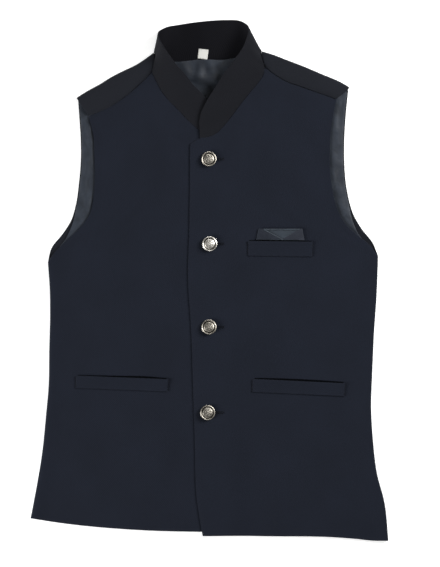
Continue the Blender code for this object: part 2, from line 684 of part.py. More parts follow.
def build():
    """Model every piece of the jacket."""
    for leftover in list(bpy.data.objects):
        bpy.data.objects.remove(leftover, do_unlink=True)
    jacket = bpy.data.collections.new("nehru_jacket")
    bpy.context.scene.collection.children.link(jacket)

    right_strip = shoulder_strip(smooth_line(RIGHT_FOLD), RIGHT_SEAM_LINE, 1)
    left_strip = shoulder_strip(smooth_line(LEFT_FOLD), LEFT_SEAM_LINE, -1)
    back = [back_grid(right_strip, left_strip), right_strip, left_strip[:, ::-1]]
    shell(jacket, "back", back, CLOTH, "suiting", True)
    shell(jacket, "back_lining", [lining_grid()], LINING, "satin", True)
    right_front = front_grid(
        RIGHT_SIDE, RIGHT_ARM_FRONT, RIGHT_SEAM_LINE, right_neck(),
        RIGHT_HEM, RIGHT_FRONT_EDGE, -1, False,
    )
    left_front = front_grid(
        LEFT_SIDE, LEFT_ARM_FRONT, LEFT_SEAM_LINE, lap_neck(),
        LEFT_HEM, LEFT_FRONT_EDGE, 1, True,
    )
    shell(jacket, "front_right", [right_front], CLOTH, "suiting", False)
    shell(jacket, "front_left", [left_front], CLOTH, "suiting", True)
    collar = [collar_grid(right_strip, left_strip)]
    shell(jacket, "collar", collar, CLOTH, "collar_cloth", True)
    for name, corners in WELTS.items():
        shell(jacket, name, [welt_grid(*corners)], WELT_WALL, "suiting", True)
    shell(jacket, "pocket_square", [square_grid()], SQUARE_WALL, "satin", True)
    label(jacket)
    profile = button_profile()
    for number, (x, y) in enumerate(BUTTONS, start=1):
        button(jacket, f"button_{number}", profile, x, y)


build()
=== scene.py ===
"""Looks of a Nehru jacket laid flat on its back: cloth, satin, stitching and pewter buttons.

Sizes are in millimetres until a mesh is made, and X runs to the viewer's right, Y from the hem
to the collar, Z up. The cut's tables are the ones that the solids are made from.
"""

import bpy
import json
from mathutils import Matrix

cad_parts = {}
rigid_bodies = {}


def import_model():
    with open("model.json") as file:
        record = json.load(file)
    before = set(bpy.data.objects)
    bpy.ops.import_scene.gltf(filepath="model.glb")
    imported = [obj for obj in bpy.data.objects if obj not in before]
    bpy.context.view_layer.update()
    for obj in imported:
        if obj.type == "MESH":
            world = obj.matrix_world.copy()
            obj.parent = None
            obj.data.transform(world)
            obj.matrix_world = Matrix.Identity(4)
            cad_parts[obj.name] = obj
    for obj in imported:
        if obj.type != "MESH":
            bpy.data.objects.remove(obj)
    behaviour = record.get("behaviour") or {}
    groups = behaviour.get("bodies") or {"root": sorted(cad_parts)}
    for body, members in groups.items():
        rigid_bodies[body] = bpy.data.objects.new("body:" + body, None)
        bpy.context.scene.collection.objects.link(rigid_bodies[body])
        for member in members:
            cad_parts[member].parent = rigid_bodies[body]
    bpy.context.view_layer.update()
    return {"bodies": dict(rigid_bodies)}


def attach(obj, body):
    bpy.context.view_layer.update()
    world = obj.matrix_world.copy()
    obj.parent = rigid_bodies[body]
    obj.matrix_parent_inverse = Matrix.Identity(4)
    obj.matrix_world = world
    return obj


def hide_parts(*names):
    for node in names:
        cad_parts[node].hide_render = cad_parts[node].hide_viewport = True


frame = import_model()
BODY = next(iter(frame["bodies"]))

import json
import logging
import math
from dataclasses import dataclass
from enum import Enum
from typing import Any, Iterable, Sequence

import bpy
import numpy as np
from mathutils import Vector

logging.basicConfig(level=logging.INFO, format="%(message)s")
LOG = logging.getLogger("jacket")
MM = 0.001
Rows = Sequence[Sequence[float]]
STEPS_BETWEEN = 24      # fine points for each step between two rows of a table
CHUNK = 4096            # points that are compared at once, to spare memory
TINY = 1e-9


# Curves and surfaces

def hermite(knots: np.ndarray, values: Rows, places: np.ndarray) -> np.ndarray:
    """Smooth curve through values.

    Args:
        knots: Rising parameter of each value.
        values: One row for each knot.
        places: Parameters to read the curve at.

    Returns:
        One row for each place.
    """
    knots = np.asarray(knots, float)
    rows = np.asarray(values, float)
    slopes = np.gradient(rows, knots, axis=0)
    span = np.clip(np.searchsorted(knots, places, side="right") - 1, 0, len(knots) - 2)
    width = (knots[span + 1] - knots[span])[:, None]
    t = (places - knots[span])[:, None] / width
    return (
        (2 * t**3 - 3 * t**2 + 1) * rows[span]
        + (t**3 - 2 * t**2 + t) * width * slopes[span]
        + (3 * t**2 - 2 * t**3) * rows[span + 1]
        + (t**3 - t**2) * width * slopes[span + 1]
    )


def lengths_along(points: np.ndarray) -> np.ndarray:
    """Running length at each point of a polyline."""
    steps = np.linalg.norm(np.diff(points, axis=0), axis=1)
    return np.concatenate([[0.0], np.cumsum(steps)])


def smooth_line(rows: Rows) -> np.ndarray:
    """Fine polyline on a smooth curve through the rows.

    Args:
        rows: Points of a table.

    Returns:
        Points in even steps along the curve.
    """
    points = np.asarray(rows, float)
    knots = lengths_along(points)
    return hermite(knots, points, np.linspace(0.0, knots[-1], STEPS_BETWEEN * (len(points) - 1) + 1))


def at_fractions(line: np.ndarray, fractions: np.ndarray) -> np.ndarray:
    """Points of a polyline at fractions of its length.

    Args:
        line: The polyline.
        fractions: Shares of its length, from 0 to 1.

    Returns:
        One point for each share.
    """
    run = lengths_along(line)
    target = np.asarray(fractions) * run[-1]
    return np.stack([np.interp(target, run, line[:, k]) for k in range(line.shape[1])], axis=1)


def smoothstep(value: Any) -> Any:
    """Soft ramp from 0 to 1."""
    t = np.clip(value, 0.0, 1.0)
    return t * t * (3.0 - 2.0 * t)


def ridge(value: Any, centre: float, width: float) -> Any:
    """Soft ridge of height 1 round a centre."""
    return np.exp(-(((value - centre) / width) ** 2))


def nearest(points: np.ndarray, line: np.ndarray) -> np.ndarray:
    """Distance in plan from points to a polyline.

    Args:
        points: Any array whose last axis starts with x, y.
        line: Fine polyline.

    Returns:
        The distance of each point.
    """
    flat = points[..., :2].reshape(-1, 2)
    gaps = np.empty(len(flat))
    for start in range(0, len(flat), CHUNK):
        part = flat[start:start + CHUNK]
        squares = ((part[:, None] - line[None, :, :2]) ** 2).sum(axis=2)
        gaps[start:start + CHUNK] = np.sqrt(squares.min(axis=1))
    return gaps.reshape(points.shape[:-1])


def outward(line: np.ndarray, sign: int) -> np.ndarray:
    """Unit normals in plan along a line.

    Args:
        line: Points in plan.
        sign: 1 for its right-hand side, -1 for its left.

    Returns:
        One normal for each point.
    """
    tangent = np.gradient(line, axis=0)
    tangent /= np.linalg.norm(tangent, axis=1)[:, None]
    return sign * np.stack([tangent[:, 1], -tangent[:, 0]], axis=1)


def shares(points: np.ndarray, axis: int) -> np.ndarray:
    """Each point's share of the way from the first to the last along one axis."""
    return (points[:, axis] - points[0, axis]) / (points[-1, axis] - points[0, axis])


def coons(
    bottom: np.ndarray, top: np.ndarray, left: np.ndarray, right: np.ndarray,
    across: np.ndarray, up: np.ndarray,
) -> np.ndarray:
    """Patch between four edges.

    Args:
        bottom: Lower edge's points.
        top: Upper edge's points.
        left: First side's points.
        right: Other side's points.
        across: Share of each column, from 0 to 1.
        up: Share of each row, from 0 to 1.

    Returns:
        Grid of points, rows first.
    """
    u = across[None, :, None]
    v = up[:, None, None]
    corners = (
        (1 - u) * (1 - v) * bottom[0] + u * (1 - v) * bottom[-1]
        + (1 - u) * v * top[0] + u * v * top[-1]
    )
    rows = (1 - v) * bottom[None] + v * top[None]
    return rows + (1 - u) * left[:, None] + u * right[:, None] - corners


@dataclass(frozen=True)
class SoftFold:
    """A soft ridge in cloth, or a trough where its height is negative."""

    x: float
    y: float
    heading: float
    half_length: float
    half_width: float
    height: float

    def lift(self, x: np.ndarray, y: np.ndarray) -> np.ndarray:
        """Rise of the cloth at points in plan.

        Args:
            x: Places across.
            y: Places up.

        Returns:
            The rise at each.
        """
        turn = math.radians(self.heading)
        along = (x - self.x) * math.cos(turn) + (y - self.y) * math.sin(turn)
        across = (y - self.y) * math.cos(turn) - (x - self.x) * math.sin(turn)
        fall = (along / self.half_length) ** 2 + (across / self.half_width) ** 2
        return self.height * np.exp(-fall)


def folds_of(rows: Rows) -> list[SoftFold]:
    """Folds from a table: x, y, heading in degrees, half length, half width, height."""
    return [SoftFold(*row) for row in rows]


def lift_of(folds: Iterable[SoftFold], x: np.ndarray, y: np.ndarray) -> np.ndarray:
    """Summed rise of several folds."""
    return sum((fold.lift(x, y) for fold in folds), np.zeros(x.shape))


# The cut: tables of the outline and the seams, as in the solids

@dataclass(frozen=True)
class Cut:
    """Outline, seams and levels of the laid jacket, from the same tables as its solids."""

    cloth: float = 2.2
    seam_gap: float = 0.3
    side_seam_gap: float = 0.5
    side_roll: float = 3.5
    shoulder_roll: float = 4.6
    front_rest: float = 6.1
    lap_step: float = 2.6
    lap_edge: float = 26.0
    lap_landing: float = 62.0
    hem_drop: float = 1.1
    hem_drop_reach: float = 34.0
    shoulder_lift: float = 1.5
    shoulder_lift_reach: float = 60.0
    side_lift: float = 1.6
    side_lift_reach: float = 26.0
    strip_puff: float = 0.9
    strip_seam_z: float = 7.4
    collar_bow: float = 1.4
    collar_lying: float = 9.0
    lining_edge: float = 6.0
    lining_top_inset: float = 7.0
    lining_hem_rise: float = 34.0
    unroll_below: float = 20.0
    unroll_above: float = 38.0
    underarm_ease: float = 1.6
    underarm_ease_reach: float = 90.0


CUT = Cut()

RIGHT_SIDE = [
    (-259.0, -344.5), (-251.3, -304.0), (-242.6, -252.0), (-236.6, -194.0),
    (-232.8, -150.0), (-232.0, -99.0), (-230.8, -50.0), (-231.4, -10.0), (-234.2, 27.0),
]
LEFT_SIDE = [
    (259.4, -377.2), (253.6, -321.0), (243.0, -280.0), (236.8, -228.0),
    (234.4, -186.0), (236.0, -134.0), (238.4, -80.0), (242.4, -20.0), (244.6, 36.0),
]
RIGHT_ARM_FRONT = [
    (-234.2, 27.0), (-222.4, 43.0), (-203.6, 61.0), (-185.0, 79.0), (-173.0, 97.0),
    (-168.0, 120.0), (-166.0, 150.0), (-166.6, 180.0), (-168.0, 210.0), (-174.9, 238.5),
]
LEFT_ARM_FRONT = [
    (244.6, 36.0), (232.0, 51.5), (214.0, 66.0), (197.0, 82.0), (186.6, 100.0),
    (180.0, 123.0), (175.4, 155.0), (174.4, 185.0), (175.6, 215.0), (184.0, 262.5),
]
RIGHT_ARM_BACK = [
    (-234.2, 27.0), (-230.4, 44.0), (-211.0, 70.0), (-200.0, 88.0), (-194.0, 108.0),
    (-189.0, 142.0), (-186.2, 180.0), (-187.0, 214.0), (-188.6, 238.0), (-190.3, 260.6),
]
LEFT_ARM_BACK = [
    (244.6, 36.0), (237.8, 53.0), (220.0, 76.0), (208.7, 96.0), (202.0, 118.0),
    (197.2, 147.0), (195.5, 175.0), (195.6, 203.0), (197.4, 235.0), (201.3, 275.8),
]
RIGHT_FOLD = [
    (-192.6, 264.6), (-176.0, 275.0), (-159.0, 284.2), (-141.0, 295.4),
    (-124.0, 304.0), (-106.0, 312.5), (-89.0, 324.0), (-81.0, 330.0),
]
LEFT_FOLD = [
    (203.0, 280.0), (189.0, 288.0), (163.0, 299.0), (137.0, 310.0), (111.0, 320.0),
    (90.0, 328.0), (76.0, 332.0),
]
RIGHT_SEAM = [
    (-174.9, 238.5), (-157.0, 246.0), (-144.0, 252.0), (-118.8, 269.0),
    (-95.0, 290.0), (-83.0, 302.0),
]
LEFT_SEAM = [
    (184.0, 262.5), (170.5, 267.6), (150.0, 274.6), (131.4, 281.4), (109.6, 289.4),
    (94.0, 299.0), (80.0, 309.5),
]
RIGHT_NECK = [
    (-83.0, 302.0), (-77.0, 289.0), (-69.0, 274.0), (-58.0, 260.0), (-45.0, 247.0),
    (-31.8, 233.0), (-21.0, 223.0), (-8.0, 214.5), (8.0, 209.0), (21.0, 206.5),
]
LEFT_NECK = [
    (80.0, 309.5), (78.4, 299.0), (72.6, 289.0), (59.5, 273.0), (44.4, 254.0),
    (31.0, 236.0), (20.6, 223.4), (10.0, 213.0), (0.0, 208.4), (-13.6, 206.6),
]
BACK_NECK = [
    (-78.7, 326.0), (-66.0, 320.5), (-50.0, 316.6), (-34.0, 317.6), (-18.0, 319.4),
    (0.0, 319.8), (16.0, 319.2), (32.0, 321.2), (50.0, 325.6), (64.0, 328.4), (74.3, 327.7),
]
LEFT_NECK_CORNER = (-28.0, 197.6)
RIGHT_FRONT_EDGE = [(21.0, 206.5), (24.0, 60.0), (24.0, -150.0), (24.0, -364.5)]
LEFT_FRONT_EDGE = [
    (-28.0, 197.6), (-29.2, 73.0), (-31.0, 5.0), (-26.4, -72.0),
    (-23.8, -149.0), (-21.0, -236.0), (-18.4, -314.0), (-9.8, -370.4),
]
RIGHT_HEM = [
    (-259.0, -344.5), (-228.0, -349.6), (-193.0, -354.2), (-124.0, -360.3),
    (-72.0, -363.0), (-28.0, -364.0), (24.0, -364.5),
]
LEFT_HEM = [
    (259.4, -377.2), (236.0, -377.0), (215.0, -374.8), (181.0, -372.2),
    (85.0, -370.6), (44.0, -370.0), (-9.8, -370.4),
]
BACK_HEM = [
    (-259.0, -344.5), (-228.0, -347.4), (-124.0, -357.0), (-28.0, -361.0),
    (60.0, -364.0), (160.0, -368.4), (235.0, -374.0), (259.4, -377.2),
]

# Collar's free edge: stretch of the neck seam, place along it, then x, y, z
COLLAR_FREE_EDGE = [
    ("right neck", 1.00, 21.5, 234.0, 6.2),
    ("right neck", 0.88, 13.0, 247.0, 7.0),
    ("right neck", 0.74, 1.0, 259.0, 9.2),
    ("right neck", 0.60, -11.0, 271.0, 13.4),
    ("right neck", 0.42, -24.5, 284.5, 18.5),
    ("right neck", 0.24, -37.0, 300.0, 24.0),
    ("right neck", 0.00, -50.5, 314.5, 29.0),
    ("right strip", 0.50, -61.0, 328.5, 32.5),
    ("right strip", 1.00, -69.5, 341.0, 33.0),
    ("right roll", 0.50, -74.4, 353.0, 29.0),
    ("right roll", 1.00, -71.5, 361.5, 20.0),
    ("back neck", 0.10, -61.0, 367.4, 9.0),
    ("back neck", 0.22, -46.0, 370.4, 2.4),
    ("back neck", 0.40, -20.0, 374.4, 0.0),
    ("back neck", 0.58, 6.0, 377.0, 0.0),
    ("back neck", 0.74, 28.0, 377.7, 0.0),
    ("back neck", 0.88, 44.0, 376.6, 3.6),
    ("left roll", 0.00, 54.0, 371.0, 12.0),
    ("left roll", 0.50, 57.4, 362.0, 20.0),
    ("left strip", 0.00, 54.0, 349.0, 24.0),
    ("left strip", 1.00, 46.0, 332.0, 25.0),
    ("left neck", 0.16, 35.0, 317.0, 24.0),
    ("left neck", 0.34, 22.6, 301.0, 22.0),
    ("left neck", 0.52, 10.0, 281.0, 20.0),
    ("left neck", 0.70, -2.6, 262.0, 17.0),
    ("left neck", 0.86, -11.6, 244.0, 13.6),
    ("left neck", 1.00, -15.0, 231.0, 11.4),
]

# Soft folds raised in both fronts, as in the solids
FRONT_FOLDS = folds_of([
    (34, 18, 32, 62, 26, 1.5),
    (-120, 150, 62, 90, 40, 0.9),
    (120, 165, 118, 90, 40, 0.8),
    (-150, -40, 84, 150, 44, 1),
    (160, -60, 96, 140, 44, 1),
    (-90, -250, 78, 110, 46, 0.8),
    (110, -260, 100, 110, 46, 0.9),
])


class Held(Enum):
    """How a sheet of cloth is held."""

    LAID = "laid"
    FOLDED = "folded"


@dataclass(frozen=True)
class Flat:
    """The cut of a sheet before it was laid: width, length and area, in metres."""

    width: float
    length: float
    area: float | None = None
    held: Held = Held.LAID

    def declare(
        self, piece: bpy.types.Object, on: Sequence[str], extras: Sequence[Any] = ()
    ) -> None:
        """Does nothing; the cut is not stated for the piece.

        Args:
            piece: The sheet; not used.
            on: What it rests on; not used.
            extras: Separate pieces on it; not used.
        """


# Walls: closed thin sheets grown from open patches

# Places of the close mesh lines just inside a cut edge
EDGE_GRADES = np.array([0.0, 1.0, 2.1, 3.5, 5.4])
CUT_MAP = "cut"


def stations(length: float, count: int, start: bool = False, end: bool = False) -> np.ndarray:
    """Shares of a length, with close steps at the chosen ends.

    Args:
        length: The length in millimetres.
        count: Even steps between the close ones.
        start: Close steps at the beginning.
        end: Close steps at the end.

    Returns:
        Rising shares from 0 to 1.
    """
    low = EDGE_GRADES[-1] if start else 0.0
    high = length - EDGE_GRADES[-1] if end else length
    places = np.linspace(low, high, count + 1)
    if start:
        places = np.concatenate([EDGE_GRADES[:-1], places])
    if end:
        places = np.concatenate([places, length - EDGE_GRADES[:-1][::-1]])
    return places / length


def inside(points: np.ndarray, polygon: np.ndarray) -> np.ndarray:
    """Whether points in plan lie inside a closed polygon.

    Args:
        points: Any array whose last axis starts with x, y.
        polygon: Its corners in order.

    Returns:
        True for each point that does.
    """
    x = points[..., 0]
    y = points[..., 1]
    found = np.zeros(x.shape, bool)
    for (x0, y0), (x1, y1) in zip(polygon, np.roll(polygon, -1, axis=0)):
        if y0 == y1:
            continue
        crosses = (y0 > y) != (y1 > y)
        found ^= crosses & (x < (x1 - x0) * (y - y0) / (y1 - y0) + x0)
    return found


def unit(vectors: np.ndarray) -> np.ndarray:
    """Vectors of length 1."""
    size = np.linalg.norm(vectors, axis=-1, keepdims=True)
    return vectors / np.maximum(size, TINY)


@dataclass(frozen=True)
class Wall:
    """Cloth of one thickness with rounded edges."""

    thickness: float
    edge_round: float = 0.5
    rim_turns: tuple[float, ...] = (45.0, 90.0, 135.0)
    weld: float = 1e-3
    lined: bool = False     # the inner face has a finish of its own: the fronts' lining satin, or the collar's painted shade

    def mesh(
        self, name: str, grids: Sequence[np.ndarray], flip: bool = False
    ) -> bpy.types.Mesh:
        """Close open patches into a wall.

        Args:
            name: Name of the mesh.
            grids: Patches of the outer face that share their joined edges' points.
            flip: Whether the patches' own faces look inward.

        Returns:
            A closed mesh with smooth shading and a map of the cut in metres.
        """
        points, faces, cut = self._welded(grids, flip)
        normals = self._normals(points, faces)
        first, last = self._open_edges(faces, len(points))
        out = np.zeros_like(points)
        side = unit(np.cross(points[last] - points[first], normals[first]))
        np.add.at(out, first, side)
        np.add.at(out, last, side)
        rim = np.unique(first)
        out[rim] = unit(out[rim])
        base = points - out * self.edge_round
        inner = base - normals * self.thickness
        layers = [base, inner]
        count = len(points)
        place = np.full(count, -1)
        place[rim] = np.arange(len(rim))
        rings = [np.arange(count)]
        for number, turn in enumerate(self.rim_turns):
            swing = math.radians(turn)
            rise = out[rim] * self.edge_round * math.sin(swing)
            sink = normals[rim] * self.thickness / 2 * (1.0 - math.cos(swing))
            layers.append(base[rim] + rise - sink)
            rings.append(2 * count + number * len(rim) + place)
        rings.append(count + np.arange(count))
        quads = [faces, faces[:, ::-1] + count]
        for upper, lower in zip(rings[:-1], rings[1:]):
            quads.append(np.stack([upper[last], upper[first], lower[first], lower[last]], axis=1))
        maps = np.concatenate([cut, cut] + [cut[rim]] * len(self.rim_turns))
        made = solid_mesh(name, np.concatenate(layers), np.concatenate(quads), maps)
        if self.lined:
            numbers = np.zeros(len(made.polygons), np.int32)
            numbers[len(faces):2 * len(faces)] = 1
            made.polygons.foreach_set("material_index", numbers)
        return made

    def _welded(
        self, grids: Sequence[np.ndarray], flip: bool
    ) -> tuple[np.ndarray, np.ndarray, np.ndarray]:
        """Join patches where their points meet.

        Args:
            grids: Patches of the outer face.
            flip: Whether their own faces look inward.

        Returns:
            Points, quads of point numbers, and each point's place on the flat cloth.
        """
        quads = []
        maps = []
        start = 0
        for grid in grids:
            rows, columns = grid.shape[:2]
            index = start + np.arange(rows * columns).reshape(rows, columns)
            ring = [index[:-1, :-1], index[:-1, 1:], index[1:, 1:], index[1:, :-1]]
            quads.append(np.stack(ring, axis=-1).reshape(-1, 4))
            maps.append(cut_map(grid).reshape(-1, 2))
            start += rows * columns
        points = np.concatenate([grid.reshape(-1, 3) for grid in grids])
        keys = np.round(points / self.weld).astype(np.int64)
        _, kept, where = np.unique(keys, axis=0, return_index=True, return_inverse=True)
        faces = where.reshape(-1)[np.concatenate(quads)]
        return points[kept], faces[:, ::-1] if flip else faces, np.concatenate(maps)[kept]

    @staticmethod
    def _normals(points: np.ndarray, faces: np.ndarray) -> np.ndarray:
        """Area-weighted normals.

        Args:
            points: One row for each point.
            faces: Quads of point numbers.

        Returns:
            One unit normal for each point.
        """
        corners = points[faces]
        across = np.cross(corners[:, 2] - corners[:, 0], corners[:, 3] - corners[:, 1])
        normals = np.zeros_like(points)
        for corner in range(4):
            np.add.at(normals, faces[:, corner], across)
        return unit(normals)

    @staticmethod
    def _open_edges(faces: np.ndarray, count: int) -> tuple[np.ndarray, np.ndarray]:
        """Edges that only one face has.

        Args:
            faces: Quads of point numbers.
            count: Number of points.

        Returns:
            First and last point of each such edge.
        """
        first = faces.reshape(-1)
        last = np.roll(faces, -1, axis=1).reshape(-1)
        lone = ~np.isin(first * count + last, last * count + first)
        return first[lone], last[lone]


def cut_map(grid: np.ndarray) -> np.ndarray:
    """Place of each grid point on the flat cloth, measured along its rows and columns.

    Args:
        grid: Grid of points, rows first.

    Returns:
        Two lengths in metres for each point.
    """
    across = np.linalg.norm(np.diff(grid, axis=1), axis=2)
    up = np.linalg.norm(np.diff(grid, axis=0), axis=2)
    u = np.concatenate([np.zeros((len(grid), 1)), np.cumsum(across, axis=1)], axis=1)
    v = np.concatenate([np.zeros((1, grid.shape[1])), np.cumsum(up, axis=0)], axis=0)
    return np.stack([u, v], axis=-1) * MM


def solid_mesh(
    name: str, points: np.ndarray, faces: Sequence[Any], cut: np.ndarray | None = None
) -> bpy.types.Mesh:
    """Smooth-shaded mesh of points in millimetres.

    Args:
        name: Name of the mesh.
        points: One row for each point.
        faces: Point numbers of each face.
        cut: Place of each point on the flat cloth, in metres.

    Returns:
        The mesh, in metres.
    """
    mesh = bpy.data.meshes.new(name)
    rings = faces.tolist() if isinstance(faces, np.ndarray) else faces
    mesh.from_pydata((points * MM).tolist(), [], rings)
    if cut is not None:
        corners = np.empty(len(mesh.loops), np.int32)
        mesh.loops.foreach_get("vertex_index", corners)
        layer = mesh.uv_layers.new(name=CUT_MAP)
        layer.data.foreach_set("uv", cut[corners].astype(np.float32).ravel())
    mesh.shade_smooth()
    return mesh


def place(
    name: str, mesh: bpy.types.Mesh, finish: "Finish", nodes: Sequence[str] = (),
    inner: "Finish | None" = None,
    at: Sequence[float] = (0.0, 0.0, 0.0), turns: Sequence[float] = (0.0, 0.0, 0.0),
) -> bpy.types.Object:
    """Put a mesh in the scene as a piece of the jacket.

    Args:
        name: Name of the piece.
        mesh: Its mesh.
        finish: Finish that dresses it.
        nodes: Solids that it stands for.
        inner: Finish of a lined wall's inner face.
        at: Place of its origin, in millimetres.
        turns: Turns about X, Y and Z, in degrees.

    Returns:
        The piece.
    """
    piece = bpy.data.objects.new(name, mesh)
    bpy.context.scene.collection.objects.link(piece)
    piece.location = [size * MM for size in at]
    piece.rotation_euler = [math.radians(turn) for turn in turns]
    mesh.materials.append(finish.material())
    if inner is not None:
        mesh.materials.append(inner.material())
    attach(piece, BODY)
    if nodes:
        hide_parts(*nodes)
    LOG.info("%s: %d faces", name, len(mesh.polygons))
    return piece


# Thread

@dataclass(frozen=True)
class Stitches:
    """Short rounded stitches of one thread, joined in one mesh."""

    radius: float = 0.24
    lift: float = 0.3
    sides: int = 6
    swell: tuple[float, ...] = (0.35, 0.9, 1.0, 0.9, 0.35)

    def mesh(self, name: str, starts: np.ndarray, ends: np.ndarray) -> bpy.types.Mesh:
        """Tubes from each start to its end, arched off the cloth.

        Args:
            name: Name of the mesh.
            starts: First point of each stitch.
            ends: Last point of each stitch.

        Returns:
            One mesh of all the stitches.
        """
        along = unit(ends - starts)
        up = np.array([0.0, 0.0, 1.0])
        side = unit(np.cross(along, up))
        rings = []
        for number, size in enumerate(self.swell):
            share = number / (len(self.swell) - 1)
            arch = up * self.lift * math.sin(math.pi * share)
            centre = starts * (1 - share) + ends * share + arch
            for step in range(self.sides):
                turn = 2 * math.pi * step / self.sides
                swing = side * math.cos(turn) + up * math.sin(turn)
                rings.append(centre + swing * self.radius * size)
        points = np.stack(rings, axis=1).reshape(-1, 3)
        per_stitch = len(self.swell) * self.sides
        pattern = []
        for ring in range(len(self.swell) - 1):
            for step in range(self.sides):
                low = ring * self.sides
                after = (step + 1) % self.sides
                pattern.append([
                    low + step, low + self.sides + step, low + self.sides + after, low + after
                ])
        caps = [list(range(self.sides)), list(range(per_stitch - self.sides, per_stitch))[::-1]]
        faces = [
            [corner + stitch * per_stitch for corner in face]
            for stitch in range(len(starts)) for face in pattern + caps
        ]
        return solid_mesh(name, points, faces)


# Finishes

# Radians that a wave texture turns in each unit, along an axis and along the diagonal
AXIS_TURN = 20.0
DIAGONAL_TURN = 10.0 * math.sqrt(2.0)
# Between these values a noise texture has nearly all of its range
NOISE_RANGE = {"From Min": 0.3, "From Max": 0.7}
RECESS = "recess"       # map of a button's grooves, where its patina is left


def linear(colour: str) -> tuple[float, float, float, float]:
    """Linear colour of an sRGB hex value.

    Args:
        colour: Six hex digits after a #.

    Returns:
        Linear red, green, blue, and an alpha of 1.
    """
    parts = [int(colour[k:k + 2], 16) / 255 for k in (1, 3, 5)]
    toned = [c / 12.92 if c <= 0.04045 else ((c + 0.055) / 1.055) ** 2.4 for c in parts]
    return (toned[0], toned[1], toned[2], 1.0)


def per_mm(size: float) -> float:
    """Noise scale whose features are about a size in millimetres."""
    return 1.0 / (size * MM)


def bands(period: float, turn: float = AXIS_TURN) -> float:
    """Wave scale whose bands repeat each period in millimetres."""
    return 2 * math.pi / turn / (period * MM)


def add_node(tree: Any, kind: str, links: dict[Any, Any] | None = None, **settings: Any) -> Any:
    """Add a shader node with its settings and links.

    Args:
        tree: Node tree that takes it.
        kind: Node type.
        links: Value or output socket for each input, by name or number.
        settings: Properties of the node.

    Returns:
        The node.
    """
    made = tree.nodes.new(kind)
    for name, value in settings.items():
        setattr(made, name, value)
    for name, value in (links or {}).items():
        socket = made.inputs[name]
        if isinstance(value, bpy.types.NodeSocket):
            tree.links.new(value, socket)
        else:
            socket.default_value = value
    return made


def blank_material(name: str) -> tuple[bpy.types.Material, Any, Any]:
    """New material with no shader yet.

    Args:
        name: Name of the material.

    Returns:
        The material, its node tree and its output node.
    """
    material = bpy.data.materials.new(name)
    material.use_nodes = True
    tree = material.node_tree
    tree.nodes.clear()
    return material, tree, add_node(tree, "ShaderNodeOutputMaterial")


@dataclass(frozen=True)
class Finish:
    """A finish: its material's name, the record's slot and its colour."""

    name: str
    slot: str
    colour: str

    def material(self) -> bpy.types.Material:
        """The finish as a Blender material, made once.

        Returns:
            The material.
        """
        if self.name in bpy.data.materials:
            return bpy.data.materials[self.name]
        material, tree, output = blank_material(self.name)
        shader = add_node(tree, "ShaderNodeBsdfPrincipled", self.surface(tree))
        tree.links.new(shader.outputs["BSDF"], output.inputs["Surface"])
        return material

    def surface(self, tree: Any) -> dict[Any, Any]:
        """Values and output sockets for the shader's inputs, with the nodes behind them."""
        raise NotImplementedError


@dataclass(frozen=True)
class Worsted(Finish):
    """Worsted suiting, twill-woven and pressed: matt, with a faint diagonal and a soft nap."""

    roughness: float = 0.82
    sheen: float = 0.03
    gloss: float = 0.1
    twill: float = 2.1      # the real 0.5 mm is finer than a pixel, so it is drawn this coarse
    fibre: float = 1.6
    shade: float = 70.0     # width of the slow changes of tone over the cloth
    shade_tone: float = 0.08
    fibre_tone: float = 0.14
    relief: float = 0.35
    rib_height: float = 0.25
    nap_height: float = 0.3

    def surface(self, tree: Any) -> dict[Any, Any]:
        """Twill ribs and fibres in bump, with slow and fine changes of tone.

        Args:
            tree: The material's node tree.

        Returns:
            Value or socket for each input of the shader.
        """
        cut = add_node(tree, "ShaderNodeUVMap", uv_map=CUT_MAP).outputs["UV"]
        twill = add_node(tree, "ShaderNodeTexWave", {
            "Vector": cut, "Scale": bands(self.twill, DIAGONAL_TURN),
            "Distortion": 0.6, "Detail": 1.0,
        }, bands_direction="DIAGONAL").outputs["Fac"]
        fibres = add_node(tree, "ShaderNodeTexNoise", {
            "Vector": cut, "Scale": per_mm(self.fibre), "Detail": 3.0,
        }).outputs["Fac"]
        tone = add_node(tree, "ShaderNodeTexNoise", {
            "Vector": cut, "Scale": per_mm(self.shade), "Detail": 2.0,
        }).outputs["Fac"]
        slow = add_node(tree, "ShaderNodeMapRange", {
            "Value": tone, **NOISE_RANGE,
            "To Min": 1.0 - self.shade_tone, "To Max": 1.0 + self.shade_tone,
        }).outputs["Result"]
        fine = add_node(tree, "ShaderNodeMapRange", {
            "Value": fibres, **NOISE_RANGE,
            "To Min": 1.0 - self.fibre_tone, "To Max": 1.0 + self.fibre_tone,
        }).outputs["Result"]
        value = add_node(tree, "ShaderNodeMath", {0: slow, 1: fine}, operation="MULTIPLY")
        colour = add_node(tree, "ShaderNodeHueSaturation", {
            "Color": linear(self.colour), "Value": value.outputs[0],
        }).outputs["Color"]
        ribs = add_node(tree, "ShaderNodeBump", {
            "Height": twill, "Strength": self.relief, "Distance": self.rib_height * MM,
        }).outputs["Normal"]
        nap = add_node(tree, "ShaderNodeBump", {
            "Height": fibres, "Strength": self.relief, "Distance": self.nap_height * MM,
            "Normal": ribs,
        }).outputs["Normal"]
        return {
            "Base Color": colour, "Roughness": self.roughness, "Normal": nap,
            "Sheen Weight": self.sheen, "Sheen Roughness": 0.5, "Specular IOR Level": self.gloss,
        }


